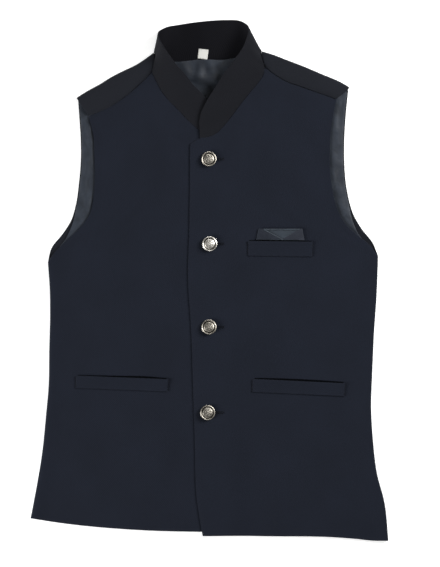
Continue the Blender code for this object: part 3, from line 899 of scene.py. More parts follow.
@dataclass(frozen=True)
class Satin(Finish):
    """Viscose lining satin, warp-faced and calendered: smooth, with the light and shade of its
    creases painted into its tone as soft streaks.
    """

    roughness: float = 0.55
    gloss: float = 0.2
    crinkle: float = 16.0   # width of the small creases pressed into it
    pick: float = 1.5       # the real 0.15 mm weft is drawn this coarse to show at all
    painted_crease_shading: float = 0.16    # how far the creases change its tone: painted light and shade of the creases
    relief: float = 0.3
    crease_height: float = 1.6
    weft_relief: float = 0.12
    weft_height: float = 0.1

    def surface(self, tree: Any) -> dict[Any, Any]:
        """Small pressed creases in bump, with their light and shade painted in tone, over a fine
        weft.

        Args:
            tree: The material's node tree.

        Returns:
            Value or socket for each input of the shader.
        """
        cut = add_node(tree, "ShaderNodeUVMap", uv_map=CUT_MAP).outputs["UV"]
        creases = add_node(tree, "ShaderNodeTexNoise", {
            "Vector": cut, "Scale": per_mm(self.crinkle), "Detail": 2.5, "Distortion": 0.8,
        }).outputs["Fac"]
        picks = add_node(tree, "ShaderNodeTexWave", {
            "Vector": cut, "Scale": bands(self.pick), "Distortion": 0.4,
        }, bands_direction="Y").outputs["Fac"]
        # Painted light and shade: the tone rises and falls with the creases' noise
        value = add_node(tree, "ShaderNodeMapRange", {
            "Value": creases, **NOISE_RANGE,
            "To Min": 1.0 - self.painted_crease_shading, "To Max": 1.0 + self.painted_crease_shading,
        }).outputs["Result"]
        colour = add_node(tree, "ShaderNodeHueSaturation", {
            "Color": linear(self.colour), "Value": value,
        }).outputs["Color"]
        soft = add_node(tree, "ShaderNodeBump", {
            "Height": creases, "Strength": self.relief, "Distance": self.crease_height * MM,
        }).outputs["Normal"]
        weft = add_node(tree, "ShaderNodeBump", {
            "Height": picks, "Strength": self.weft_relief, "Distance": self.weft_height * MM,
            "Normal": soft,
        }).outputs["Normal"]
        return {
            "Base Color": colour, "Roughness": self.roughness, "Normal": weft,
            "Sheen Weight": 0.05, "Specular IOR Level": self.gloss,
        }


@dataclass(frozen=True)
class Tape(Finish):
    """Woven polyester tape, ribbed across: matt off-white with fine lines of shade."""

    rib: float = 0.9        # the real 0.4 mm ribs are drawn this coarse to show
    rib_tones: tuple[float, float] = (0.9, 1.04)
    relief: float = 0.4
    rib_height: float = 0.15

    def surface(self, tree: Any) -> dict[Any, Any]:
        """Ribs across the tape, in tone and bump.

        Args:
            tree: The material's node tree.

        Returns:
            Value or socket for each input of the shader.
        """
        cut = add_node(tree, "ShaderNodeUVMap", uv_map=CUT_MAP).outputs["UV"]
        ribs = add_node(tree, "ShaderNodeTexWave", {
            "Vector": cut, "Scale": bands(self.rib),
        }, bands_direction="Y").outputs["Fac"]
        value = add_node(tree, "ShaderNodeMapRange", {
            "Value": ribs, "To Min": self.rib_tones[0], "To Max": self.rib_tones[1],
        }).outputs["Result"]
        colour = add_node(tree, "ShaderNodeHueSaturation", {
            "Color": linear(self.colour), "Value": value,
        }).outputs["Color"]
        bump = add_node(tree, "ShaderNodeBump", {
            "Height": ribs, "Strength": self.relief, "Distance": self.rib_height * MM,
        }).outputs["Normal"]
        return {
            "Base Color": colour, "Roughness": 0.75, "Normal": bump,
        }


@dataclass(frozen=True)
class Thread(Finish):
    """Spun polyester thread, twisted: a soft dull glint along each stitch."""

    twist: float = 0.8
    ply_tone: float = 0.2

    def surface(self, tree: Any) -> dict[Any, Any]:
        """Plies of the twisted thread, in tone.

        Args:
            tree: The material's node tree.

        Returns:
            Value or socket for each input of the shader.
        """
        where = add_node(tree, "ShaderNodeTexCoord").outputs["Object"]
        plies = add_node(tree, "ShaderNodeTexNoise", {
            "Vector": where, "Scale": per_mm(self.twist),
        }).outputs["Fac"]
        value = add_node(tree, "ShaderNodeMapRange", {
            "Value": plies, **NOISE_RANGE,
            "To Min": 1.0 - self.ply_tone, "To Max": 1.0 + self.ply_tone,
        }).outputs["Result"]
        colour = add_node(tree, "ShaderNodeHueSaturation", {
            "Color": linear(self.colour), "Value": value,
        }).outputs["Color"]
        return {
            "Base Color": colour, "Roughness": 0.8, "Sheen Weight": 0.03, "Specular IOR Level": 0.1,
        }


@dataclass(frozen=True)
class Pewter(Finish):
    """Cast pewter-toned zinc, antiqued and rubbed: bright high places, dark in the grooves."""

    patina: str
    roughness: float = 0.4
    patina_roughness: float = 0.6
    patina_from: float = 0.05
    patina_full: float = 0.45
    grain: float = 0.7
    relief: float = 0.1
    grain_height: float = 0.08

    def surface(self, tree: Any) -> dict[Any, Any]:
        """Bright cast metal with patina in its recesses.

        Args:
            tree: The material's node tree.

        Returns:
            Value or socket for each input of the shader.
        """
        depth = add_node(tree, "ShaderNodeAttribute", attribute_name=RECESS).outputs["Fac"]
        where = add_node(tree, "ShaderNodeTexCoord").outputs["Object"]
        grains = add_node(tree, "ShaderNodeTexNoise", {
            "Vector": where, "Scale": per_mm(self.grain), "Detail": 3.0,
        }).outputs["Fac"]
        rubbed = add_node(tree, "ShaderNodeMath", {
            0: depth, 1: grains, 2: 0.0,
        }, operation="MULTIPLY_ADD")
        spread = add_node(tree, "ShaderNodeMapRange", {
            "Value": rubbed.outputs[0], "From Min": self.patina_from, "From Max": self.patina_full,
        }).outputs["Result"]
        colour = add_node(tree, "ShaderNodeMix", {
            0: spread, 6: linear(self.colour), 7: linear(self.patina),
        }, data_type="RGBA").outputs[2]
        rough = add_node(tree, "ShaderNodeMapRange", {
            "Value": spread, "To Min": self.roughness, "To Max": self.patina_roughness,
        }).outputs["Result"]
        bump = add_node(tree, "ShaderNodeBump", {
            "Height": grains, "Strength": self.relief, "Distance": self.grain_height * MM,
        }).outputs["Normal"]
        return {
            "Base Color": colour, "Metallic": 1.0, "Roughness": rough, "Normal": bump,
        }


SUITING = Worsted("worsted_suiting", "suiting", "#131721")
BACK_SUITING = Worsted("worsted_suiting_back", "suiting", "#17191F")
COLLAR_CLOTH = Worsted("worsted_collar", "collar_cloth", "#111217")
# Darker, sheenless copy of the collar cloth for its inner face: painted shade
COLLAR_INNER_SHADE = Worsted("worsted_collar_inner_painted_shade", "collar_cloth", "#0F0F13", sheen=0.0, gloss=0.06)
# Near-black cloth behind each welt's mouth: painted shade of the gaping pocket mouth
POCKET_MOUTH_SHADE = Worsted("pocket_mouth_painted_shade", "suiting", "#050608", sheen=0.0, gloss=0.02)
LINING_SATIN = Satin("viscose_lining_satin", "lining_satin", "#252A32", painted_crease_shading=0.26)
SQUARE_SATIN = Satin("viscose_square_satin", "square_satin", "#293038", crinkle=22.0)
SQUARE_REVERSE = Satin("viscose_square_reverse", "square_satin", "#262931", gloss=0.1)
# Darker copy of the reverse satin, for the left flap only: painted shade
SQUARE_REVERSE_SHADE = Satin("viscose_square_reverse_painted_shade", "square_satin", "#1F232B", gloss=0.1)
# Lighter copy of the square's satin for its folded edges: painted highlight
SQUARE_TURN_HIGHLIGHT = Satin("viscose_square_turned_edge_painted_highlight", "square_satin", "#2E353D", crinkle=22.0)
LABEL_TAPE = Tape("woven_polyester_tape", "label_tape", "#E4E2DC")
DARK_THREAD = Thread("spun_thread_navy", "suiting", "#0F121A")
LABEL_THREAD = Thread("spun_thread_white", "label_tape", "#B4B2AC")
PEWTER = Pewter("antiqued_pewter", "button_pewter", "#9E998F", "#1C1A17")
# Brighter copy of the pewter for button 2: painted highlight of its bright reflection
PAINTED_HIGHLIGHT_PEWTER = Pewter("pewter_painted_highlight", "button_pewter", "#D2CEC6", "#1C1A17", roughness=0.34)


# Surfaces of the laid jacket

VISUAL_WALL = 1.7           # the cloth shows as a thinner wall inside its solid's form
ROLL_STEPS = 5
FOLD_TURNS = np.arange(0.0, 181.0, 15.0)    # degrees round a shoulder fold
# Section of a side fold's quarter: share of its reach, share of its drop
ROLL_PROFILE = [(0.0, 0.0), (0.62, 0.15), (0.92, 0.48), (1.0, 0.82), (1.0, 1.0)]
SIDE_COUNT, ARM_COUNT = 92, 62
SHOULDER_COUNT, NECK_COUNT, BACK_NECK_COUNT = 30, 46, 36

# Steps of the solids' outlines, which the side folds and the collar follow
SOLID_SIDE_ROWS, SOLID_ARM_ROWS = 11, 10
SOLID_NECK_COLUMNS, SOLID_BACK_COLUMNS, SOLID_SHOULDER_COLUMNS = 14, 16, 5
SOLID_ROLL_ANGLES = (0.0, 36.0, 72.0, 108.0, 144.0, 180.0)
SOLID_STRIP_ROWS = 3
SOLID_EDGE_STEPS = 4

# Shallow creases over both fronts: troughs are negative
SURFACE_CREASES = folds_of([
    (-6, 26, 28, 54, 9, 0.45),
    (30, 2, 24, 46, 10, -0.40),
    (-92, 118, 48, 72, 13, 0.38),
    (-128, 82, 36, 58, 11, -0.34),
    (-60, 176, 118, 44, 12, 0.32),
    (108, 128, 134, 64, 12, -0.34),
    (74, 188, 58, 48, 12, 0.34),
    (186, 8, 108, 62, 12, 0.40),
    (-196, -12, 74, 66, 12, 0.40),
    (-186, -86, 96, 88, 14, -0.34),
    (-118, -196, 70, 92, 15, 0.40),
    (-52, -292, 82, 74, 13, -0.36),
    (-176, -288, 100, 66, 14, 0.42),
    (72, -226, 84, 98, 15, 0.36),
    (146, -302, 104, 72, 13, -0.38),
    (214, -246, 78, 84, 14, 0.40),
    (206, -70, 92, 70, 13, -0.32),
    (60, -62, 66, 58, 14, 0.30),
])

# Folds of the lining where it shows: at the two armholes, then at the neck
LINING_CREASES = folds_of([
    (-173, 205, 88, 30, 4, 1.5),
    (-179, 182, 96, 26, 3, 1.2),
    (-176, 146, 20, 10, 3, -0.9),
    (-178, 160, 80, 15, 4, 1.6),
    (-180, 128, 100, 20, 4.5, 1.7),
    (-179, 109, 60, 12, 6, 1.9),
    (-189, 92, 60, 16, 4, 1.3),
    (-201, 76, 50, 17, 3.5, 1.2),
    (-183, 228, 100, 16, 3, 1),
    (181, 232, 85, 25, 3.5, 1),
    (186, 205, 92, 24, 4, 1.1),
    (181, 178, 88, 20, 4, 1.1),
    (187, 149, 64, 11, 2.6, -1),
    (183, 160, 70, 12, 3, 1),
    (189, 131, 105, 18, 4, 1.2),
    (192, 111, 110, 15, 4.5, 1.1),
    (203, 91, 125, 16, 3.5, 0.9),
    (-172, 219, 8, 8, 3, 1.2),
    (-177, 194, 166, 9, 3.2, -0.9),
    (-178, 170, 24, 9, 3, 1.3),
    (-183, 118, 12, 10, 3, -0.9),
    (-190, 102, 150, 11, 3.2, 1.2),
    (184, 219, 172, 8, 3, 1.2),
    (188, 190, 14, 9, 3.2, -0.9),
    (186, 170, 158, 8, 2.8, 1.2),
    (192, 121, 18, 10, 3, -0.9),
    (200, 100, 34, 11, 3.2, 1.2),
    (-34, 306, 122, 16, 6, 2),
    (-14, 302, 74, 14, 6, 2.6),
    (2, 309, 112, 12, 5.5, 2.5),
    (18, 311, 152, 16, 5, 2.1),
    (-10, 292.5, 172, 30, 6.5, 4.2),
    (-20, 291, 160, 12, 4, -0.9),
    (9, 296, 60, 13, 4.5, 1.5),
])

# Creases of the back's outer face, which lies on the surface: all rise off it
BACK_CREASES = folds_of([
    (-96, 110, 74, 84, 10, 0.5),
    (58, 46, 104, 96, 11, 0.45),
    (-30, -132, 86, 104, 10, 0.5),
    (138, -176, 96, 88, 12, 0.55),
    (-158, -226, 78, 78, 11, 0.5),
    (112, 178, 56, 62, 10, 0.4),
])
CENTRE_SEAM = SoftFold(0.0, -26.0, 90.0, 330.0, 1.6, 0.45)
CREASE_EDGE_FADE = 30.0     # the back's creases die out this near its sides

# The valley pressed in beside each armhole: depth, distance from the edge, width
ARM_BAND_DEPTH, ARM_BAND_IN, ARM_BAND_WIDTH = 0.45, 9.0, 4.0
# The upper front's edge, pressed flat: depth and reach
LAP_PRESS, LAP_PRESS_REACH = 0.75, 9.0
# How far cloth turns down into the shoulder seams and the neck seam, and from how far away
SEAM_FALL, SEAM_FALL_REACH = 1.6, 10.0
NECK_FALL = 0.05
# The dimple under each button: depth and reach
BUTTON_PULL, BUTTON_PULL_REACH = 0.4, 15.0
# The buttons' centres, from the collar down
BUTTONS = [(-0.9, 175.6), (0.1, 52.9), (-0.6, -67.6), (-2.9, -191.3)]
LAY_GAP = 0.35      # between a front and what lies on it


@dataclass(frozen=True)
class SideCut:
    """One side's outline: side seam, then armhole edge."""

    side: Rows
    armhole: Rows
    sign: int

    @property
    def underarm(self) -> float:
        """Y of the underarm point."""
        return self.side[-1][1]

    def lines(self) -> tuple[np.ndarray, np.ndarray]:
        """Outline from the hem to the shoulder.

        Returns:
            The outline's points, and the same points moved in by the side fold.
        """
        side_line = smooth_line(self.side)
        arm_line = smooth_line(self.armhole)
        low = stations(lengths_along(side_line)[-1], SIDE_COUNT, start=True)
        high = stations(lengths_along(arm_line)[-1], ARM_COUNT, end=True)
        outline = np.concatenate([at_fractions(side_line, low), at_fractions(arm_line, high)[1:]])
        coarse = np.concatenate([
            at_fractions(side_line, np.linspace(0.0, 1.0, SOLID_SIDE_ROWS + 1)),
            at_fractions(arm_line, np.linspace(0.0, 1.0, SOLID_ARM_ROWS + 1))[1:],
        ])
        places = np.concatenate([
            low * SOLID_SIDE_ROWS, SOLID_SIDE_ROWS + high[1:] * SOLID_ARM_ROWS
        ])
        normals = outward(coarse, self.sign)
        steps = np.arange(len(coarse))
        smooth = np.stack([np.interp(places, steps, normals[:, k]) for k in range(2)], axis=1)
        return outline, outline - unit(smooth) * CUT.side_roll

    def roll_weight(self, outline: np.ndarray) -> np.ndarray:
        """How far the edge is rolled: full along the side, none at the armhole."""
        above = outline[:, 1] - self.underarm + CUT.unroll_below
        return 1.0 - smoothstep(above / (CUT.unroll_below + CUT.unroll_above))

    def seam_gap(self, outline: np.ndarray) -> np.ndarray:
        """Gap between the two rolled edges, wider near the underarm."""
        near = smoothstep(1.0 - (self.underarm - outline[:, 1]) / CUT.underarm_ease_reach)
        return CUT.side_seam_gap + CUT.underarm_ease * near

    def strip(
        self, inner: np.ndarray, outline: np.ndarray, weight: np.ndarray,
        height: np.ndarray, drop: np.ndarray,
    ) -> np.ndarray:
        """Columns from the outline in to the panel: a quarter roll, or flat at the armhole.

        Args:
            inner: Points where the panel starts.
            outline: Points of the outline.
            weight: How far each is rolled, from 0 to 1.
            height: The panel's height at each.
            drop: Height from the panel to the roll's end.

        Returns:
            Columns of points, from the outline in.
        """
        knots = np.arange(len(ROLL_PROFILE), dtype=float)
        shares_in = np.linspace(0.0, knots[-1], ROLL_STEPS + 1)
        profile = hermite(knots, ROLL_PROFILE, shares_in)
        reach = np.linalg.norm(outline - inner, axis=1)
        away = (outline - inner) / reach[:, None]
        columns = []
        for step in range(ROLL_STEPS, 0, -1):
            rolled_out, sunk = profile[step]
            out = reach * (step / ROLL_STEPS * (1 - weight) + rolled_out * weight)
            columns.append(np.column_stack([
                inner + away * out[:, None], height + drop * sunk * weight
            ]))
        return np.stack(columns, axis=1)


BACK_CUTS = (SideCut(RIGHT_SIDE, RIGHT_ARM_BACK, -1), SideCut(LEFT_SIDE, LEFT_ARM_BACK, 1))


def shoulder_places(line: np.ndarray, edge_steps: int, count: int) -> np.ndarray:
    """Places of the mesh lines along a shoulder.

    Args:
        line: The shoulder's fold or seam.
        edge_steps: Close steps at the armhole edge.
        count: Even steps from there to the neck.

    Returns:
        Rising shares from 0 to 1.
    """
    edge = CUT.side_roll / lengths_along(line)[-1]
    close = np.linspace(0.0, edge, edge_steps + 1)
    return np.concatenate([close, np.linspace(edge, 1.0, count + 1)[1:]])


class Fronts:
    """Height of the fronts' outer faces over the plan, with their creases."""

    def __init__(self) -> None:
        """Fine lines of the seams that the height follows."""
        self.sides = np.concatenate([smooth_line(RIGHT_SIDE), smooth_line(LEFT_SIDE)])
        self.seams = np.concatenate([smooth_line(RIGHT_SEAM), smooth_line(LEFT_SEAM)])
        self.hems = np.concatenate([smooth_line(RIGHT_HEM), smooth_line(LEFT_HEM)])
        self.necks = np.concatenate([smooth_line(RIGHT_NECK), smooth_line(LEFT_NECK)])
        self.arms = np.concatenate([smooth_line(RIGHT_ARM_FRONT), smooth_line(LEFT_ARM_FRONT)])
        self.lap = smooth_line(LEFT_FRONT_EDGE)

    def level(self, plan: np.ndarray, over: bool) -> np.ndarray:
        """Height as in the solids.

        Args:
            plan: Points in plan.
            over: Whether they are on the upper, wearer's left front.

        Returns:
            The height of each.
        """
        x, y = plan[..., 0], plan[..., 1]
        side = smoothstep(1.0 - nearest(plan, self.sides) / CUT.side_lift_reach)
        seam = smoothstep(1.0 - nearest(plan, self.seams) / CUT.shoulder_lift_reach)
        hem = smoothstep(1.0 - nearest(plan, self.hems) / CUT.hem_drop_reach)
        z = CUT.front_rest + lift_of(FRONT_FOLDS, x, y)
        z = z + CUT.side_lift * side + CUT.shoulder_lift * seam - CUT.hem_drop * hem * (1.0 - side)
        if over:
            landed = smoothstep((x - CUT.lap_edge) / (CUT.lap_landing - CUT.lap_edge))
            z = z + CUT.lap_step * (1.0 - landed)
        return z

    def height(self, plan: np.ndarray, over: bool) -> np.ndarray:
        """Height with the shallow creases, pressed bands and the pull round each button.

        Args:
            plan: Points in plan.
            over: Whether they are on the upper front.

        Returns:
            The height of each.
        """
        x, y = plan[..., 0], plan[..., 1]
        z = self.level(plan, over) + lift_of(SURFACE_CREASES, x, y)
        z = z - ARM_BAND_DEPTH * ridge(nearest(plan, self.arms), ARM_BAND_IN, ARM_BAND_WIDTH)
        if over:
            edge = np.clip(1.0 - nearest(plan, self.lap) / LAP_PRESS_REACH, 0.0, 1.0)
            z = z - LAP_PRESS * edge**2
            for button_x, button_y in BUTTONS:
                away = ((x - button_x) ** 2 + (y - button_y) ** 2) / BUTTON_PULL_REACH**2
                z = z - BUTTON_PULL * np.exp(-away)
        return z

    def laid(self, plan: np.ndarray, over: bool, lift: Any) -> np.ndarray:
        """Points in plan set just clear of a front's face, plus a lift."""
        z = self.height(plan, over) + LAY_GAP + lift
        return np.concatenate([plan, z[..., None]], axis=-1)


@dataclass
class Front:
    """One front: panel of suiting from the side seam to the front edge."""

    name: str
    node: str
    cut: SideCut
    seam: Rows
    neck: Rows
    hem: Rows
    edge: Rows
    over: bool
    flat: Flat
    corner: tuple[float, float] | None = None

    def neck_line(self) -> np.ndarray:
        """Neck edge, with close steps where it meets the front edge.

        Returns:
            Points in plan, from the shoulder to the front edge.
        """
        line = smooth_line(self.neck)
        if self.corner is not None:
            line = np.concatenate([line, [self.corner]])
        return at_fractions(line, stations(lengths_along(line)[-1], NECK_COUNT, end=True))

    def grid(self, fronts: Fronts) -> np.ndarray:
        """Outer face of the panel.

        Args:
            fronts: Heights of both fronts.

        Returns:
            Grid of points, rows from the hem up and columns from the side in.
        """
        outline, inner = self.cut.lines()
        seam_line = smooth_line(self.seam)
        shoulder = at_fractions(seam_line, shoulder_places(seam_line, ROLL_STEPS, SHOULDER_COUNT))
        shoulder[:, 1] -= CUT.seam_gap
        top = np.concatenate([shoulder[ROLL_STEPS:], self.neck_line()[1:]])
        hem_line = smooth_line(self.hem)
        run = lengths_along(top) / lengths_along(top)[-1]
        across = (run + shares(top, 0)) / 2
        start = CUT.side_roll / lengths_along(hem_line)[-1]
        bottom = at_fractions(hem_line, start + (1 - start) * across)
        up = shares(outline, 1)
        inner[0], inner[-1], outline[-1] = bottom[0], top[0], shoulder[0]
        front = at_fractions(smooth_line(self.edge)[::-1], up)
        front[0], front[-1] = bottom[-1], top[-1]
        plan = coons(bottom, top, inner, front, across, up)
        z = fronts.height(plan, self.over) - self.seam_fall(plan, fronts)
        body = np.concatenate([plan, z[..., None]], axis=2)
        weight = self.cut.roll_weight(outline) ** 2
        drop = CUT.side_roll + self.cut.seam_gap(outline) / 2 - body[:, 0, 2]
        roll = self.cut.strip(inner, outline, weight, body[:, 0, 2], drop)
        return np.concatenate([roll, body], axis=1)

    def seam_fall(self, plan: np.ndarray, fronts: Fronts) -> np.ndarray:
        """How far the cloth turns down into its shoulder and neck seams.

        Args:
            plan: Points in plan.
            fronts: Heights of both fronts.

        Returns:
            The fall at each point.
        """
        seam = np.clip(1.0 - nearest(plan, fronts.seams) / SEAM_FALL_REACH, 0.0, 1.0)
        neck = np.clip(1.0 - nearest(plan, fronts.necks) / SEAM_FALL_REACH, 0.0, 1.0)
        return np.maximum(SEAM_FALL * seam**2, NECK_FALL * neck**2)

    def build(self, fronts: Fronts) -> np.ndarray:
        """Make the panel.

        Args:
            fronts: Heights of both fronts.

        Returns:
            Its outline in plan, for the lining under it.
        """
        grid = self.grid(fronts)
        mesh = Wall(VISUAL_WALL, lined=True).mesh(self.name, [grid], self.over)
        piece = place(self.name, mesh, SUITING, [self.node], inner=LINING_SATIN)
        self.flat.declare(piece, ["back_lining_satin", "back_cloth"])
        plan = grid[..., :2]
        return np.concatenate([plan[0], plan[1:, -1], plan[-1, ::-1][1:], plan[::-1, 0][1:]])


@dataclass
class Back:
    """Back panel, with the strips that come over both shoulders to the front."""

    flat: Flat = Flat(0.56, 0.80, 0.311)
    neck_rows: int = 18
    strip_width: float = 34.0   # about, from a shoulder's fold to its seam
    wall: float = 1.9       # clear of the lining where the creases rise

    @staticmethod
    def strip(
        fold: Rows, seam: Rows, sign: int, places: np.ndarray,
        angles: Sequence[float], rows_in: np.ndarray, fall: float,
    ) -> np.ndarray:
        """Shoulder strip: round the fold, then in to the seam.

        Args:
            fold: Table of the shoulder's fold.
            seam: Table of its seam.
            sign: 1 where the strip lies to the fold's right, else -1.
            places: Shares along the fold, then along the seam.
            angles: Degrees round the fold.
            rows_in: Shares of the way from the fold to the seam.
            fall: How far the cloth turns down at the seam.

        Returns:
            Grid of points, rows from the fold's underside to the seam.
        """
        fold_line, seam_line = smooth_line(fold), smooth_line(seam)
        crest_plan = at_fractions(fold_line, places[0])
        seam_plan = at_fractions(seam_line, places[1])
        inward = outward(crest_plan, sign)
        rows = []
        for angle in angles:
            turn = math.radians(angle)
            plan = crest_plan + inward * CUT.shoulder_roll * (1.0 - math.sin(turn))
            height = np.full(len(plan), CUT.shoulder_roll * (1.0 - math.cos(turn)))
            rows.append(np.column_stack([plan, height]))
        top = rows[-1]
        for share in rows_in:
            plan = top[:, :2] * (1 - share) + seam_plan * share
            level = 2 * CUT.shoulder_roll * (1 - share**2) + CUT.strip_seam_z * share**2
            away = np.linalg.norm(plan - seam_plan, axis=1)
            turned = np.clip(1.0 - away / SEAM_FALL_REACH, 0.0, 1.0) ** 2
            height = level + CUT.strip_puff * math.sin(math.pi * share) - fall * turned
            rows.append(np.column_stack([plan, height]))
        return np.stack(rows)

    def fine_strip(self, fold: Rows, seam: Rows, sign: int) -> np.ndarray:
        """Shoulder strip at the looks' own fineness.

        Args:
            fold: Table of the shoulder's fold.
            seam: Table of its seam.
            sign: 1 where the strip lies to the fold's right, else -1.

        Returns:
            Grid of points, rows from the fold's underside to the seam.
        """
        places = [
            shoulder_places(smooth_line(line), ROLL_STEPS, SHOULDER_COUNT) for line in (fold, seam)
        ]
        rows_in = stations(self.strip_width, self.neck_rows, end=True)[1:]
        return self.strip(fold, seam, sign, places, FOLD_TURNS, rows_in, SEAM_FALL)

    def grids(self) -> list[np.ndarray]:
        """Outer faces of the back.

        Returns:
            The panel and the two shoulder strips, which share their joined edges' points.
        """
        right_strip = self.fine_strip(RIGHT_FOLD, RIGHT_SEAM, 1)
        left_strip = self.fine_strip(LEFT_FOLD, LEFT_SEAM, -1)
        (right, inner_right), (left, inner_left) = (cut.lines() for cut in BACK_CUTS)
        right_fold = right_strip[0, :, :2]
        left_fold = left_strip[0, ::-1, :2]
        neck = at_fractions(smooth_line(BACK_NECK), np.linspace(0.0, 1.0, BACK_NECK_COUNT + 1))
        top = np.concatenate([
            right_fold[ROLL_STEPS:-1], neck, left_fold[1:len(left_fold) - ROLL_STEPS]
        ])
        top[SHOULDER_COUNT] = right_fold[-1]
        top[SHOULDER_COUNT + BACK_NECK_COUNT] = left_fold[0]
        across = shares(top, 0)
        hem_line = smooth_line(BACK_HEM)
        margin = CUT.side_roll / lengths_along(hem_line)[-1]
        bottom = at_fractions(hem_line, margin + (1 - 2 * margin) * across)
        up = (shares(right, 1) + shares(left, 1)) / 2
        inner_right[0], inner_right[-1] = bottom[0], top[0]
        inner_left[0], inner_left[-1] = bottom[-1], top[-1]
        right[-1], left[-1] = right_fold[0], left_fold[-1]
        plan = coons(bottom, top, inner_right, inner_left, across, up)
        rise = lift_of(BACK_CREASES + [CENTRE_SEAM], plan[..., 0], plan[..., 1])
        away = np.minimum(nearest(plan, right), nearest(plan, left))
        rise = np.maximum(rise, 0.0) * smoothstep(away / CREASE_EDGE_FADE)
        body = np.concatenate([plan, rise[..., None]], axis=2)
        strips = []
        for cut, inner, outline in zip(BACK_CUTS, (inner_right, inner_left), (right, left)):
            lift = CUT.side_roll - cut.seam_gap(outline) / 2
            weight = cut.roll_weight(outline)
            strips.append(cut.strip(inner, outline, weight, np.zeros(len(outline)), lift))
        grid = np.concatenate([strips[0], body, strips[1][:, ::-1]], axis=1)
        grid[-1, :right_strip.shape[1]] = right_strip[0]
        grid[-1, -left_strip.shape[1]:] = left_strip[0, ::-1]
        return [grid, right_strip, left_strip[:, ::-1]]

    def build(self) -> None:
        """Make the back."""
        mesh = Wall(self.wall).mesh("back_cloth", self.grids(), True)
        piece = place("back_cloth", mesh, BACK_SUITING, ["back"])
        self.flat.declare(piece, ["floor"])


@dataclass
class BackLining:
    """Satin lining of the back, which shows at the armholes and in the neck."""

    rows: int = 150
    shoulder: int = 34
    neck: int = 56
    wall: float = 0.8
    edge_round: float = 0.3
    neck_lap: float = 0.4       # over the collar's root, as sewn
    arm_edge: float = 1.5       # edge of the lining where the armhole lies open
    arm_end: float = 9.0        # the same near the underarm
    arm_end_below: float = 25.0
    arm_end_above: float = 80.0
    fade: float = 2.2
    bulge: float = 0.9          # soft roll in front of the fronts' edges
    bulge_in: float = 3.8
    bulge_width: float = 2.4
    deepest: float = -0.1       # troughs end here, clear of the back
    flat: Flat = Flat(0.53, 0.70, 0.275)

    def grid(self, outlines: Sequence[np.ndarray]) -> np.ndarray:
        """Lower face, inside the back's turned edges, with folds where it shows.

        Args:
            outlines: Outlines of the fronts, under which it lies flat.

        Returns:
            Grid of points, rows from the hem up.
        """
        folds = []
        for fold, sign in ((RIGHT_FOLD, 1), (LEFT_FOLD, -1)):
            line = smooth_line(fold)
            reach = self.arm_edge / lengths_along(line)[-1]
            inset = line + outward(line, sign) * CUT.lining_top_inset
            folds.append(at_fractions(inset, np.linspace(reach, 1.0, self.shoulder + 1)))
        neck = at_fractions(smooth_line(BACK_NECK), np.linspace(0.0, 1.0, self.neck + 1))
        neck[:, 1] += self.neck_lap
        top = np.concatenate([folds[0][:-1], neck[1:-1], folds[1][:-1][::-1]])
        across = shares(top, 0)
        sides = []
        for cut in BACK_CUTS:
            outline, inner = cut.lines()
            above = outline[:, 1:] - cut.underarm
            reach = self.arm_end_above - self.arm_end_below
            spread = smoothstep((above - self.arm_end_below) / reach)
            near = smoothstep(above / self.arm_end_below + 1)
            low = CUT.lining_edge + (self.arm_end - CUT.lining_edge) * near
            edge = low + (self.arm_edge - low) * spread
            line = outline + unit(inner - outline) * edge
            start = CUT.lining_hem_rise / lengths_along(line)[-1]
            sides.append(at_fractions(line, np.linspace(start, 1.0, self.rows + 1)))
        bottom = at_fractions(np.stack([sides[0][0], sides[1][0]]), across)
        sides[0][-1], sides[1][-1] = top[0], top[-1]
        up = (shares(sides[0], 1) + shares(sides[1], 1)) / 2
        plan = coons(bottom, top, sides[0], sides[1], across, up)
        shown = np.ones(plan.shape[:2])
        rise = np.maximum(lift_of(LINING_CREASES, plan[..., 0], plan[..., 1]), self.deepest)
        for outline in outlines:
            away = nearest(plan, outline)
            shown *= np.where(inside(plan, outline), 0.0, smoothstep(away / self.fade))
            rise = rise + self.bulge * ridge(away, self.bulge_in, self.bulge_width)
        rise = rise * shown
        level = CUT.cloth + CUT.seam_gap + rise
        return np.concatenate([plan, level[..., None]], axis=2)

    def build(self, outlines: Sequence[np.ndarray]) -> None:
        """Make the lining.

        Args:
            outlines: Outlines of the fronts, under which it lies flat.
        """
        satin = Wall(self.wall, self.edge_round)
        mesh = satin.mesh("back_lining_satin", [self.grid(outlines)], True)
        piece = place("back_lining_satin", mesh, LINING_SATIN, ["back_lining"])
        self.flat.declare(piece, ["back_cloth"])


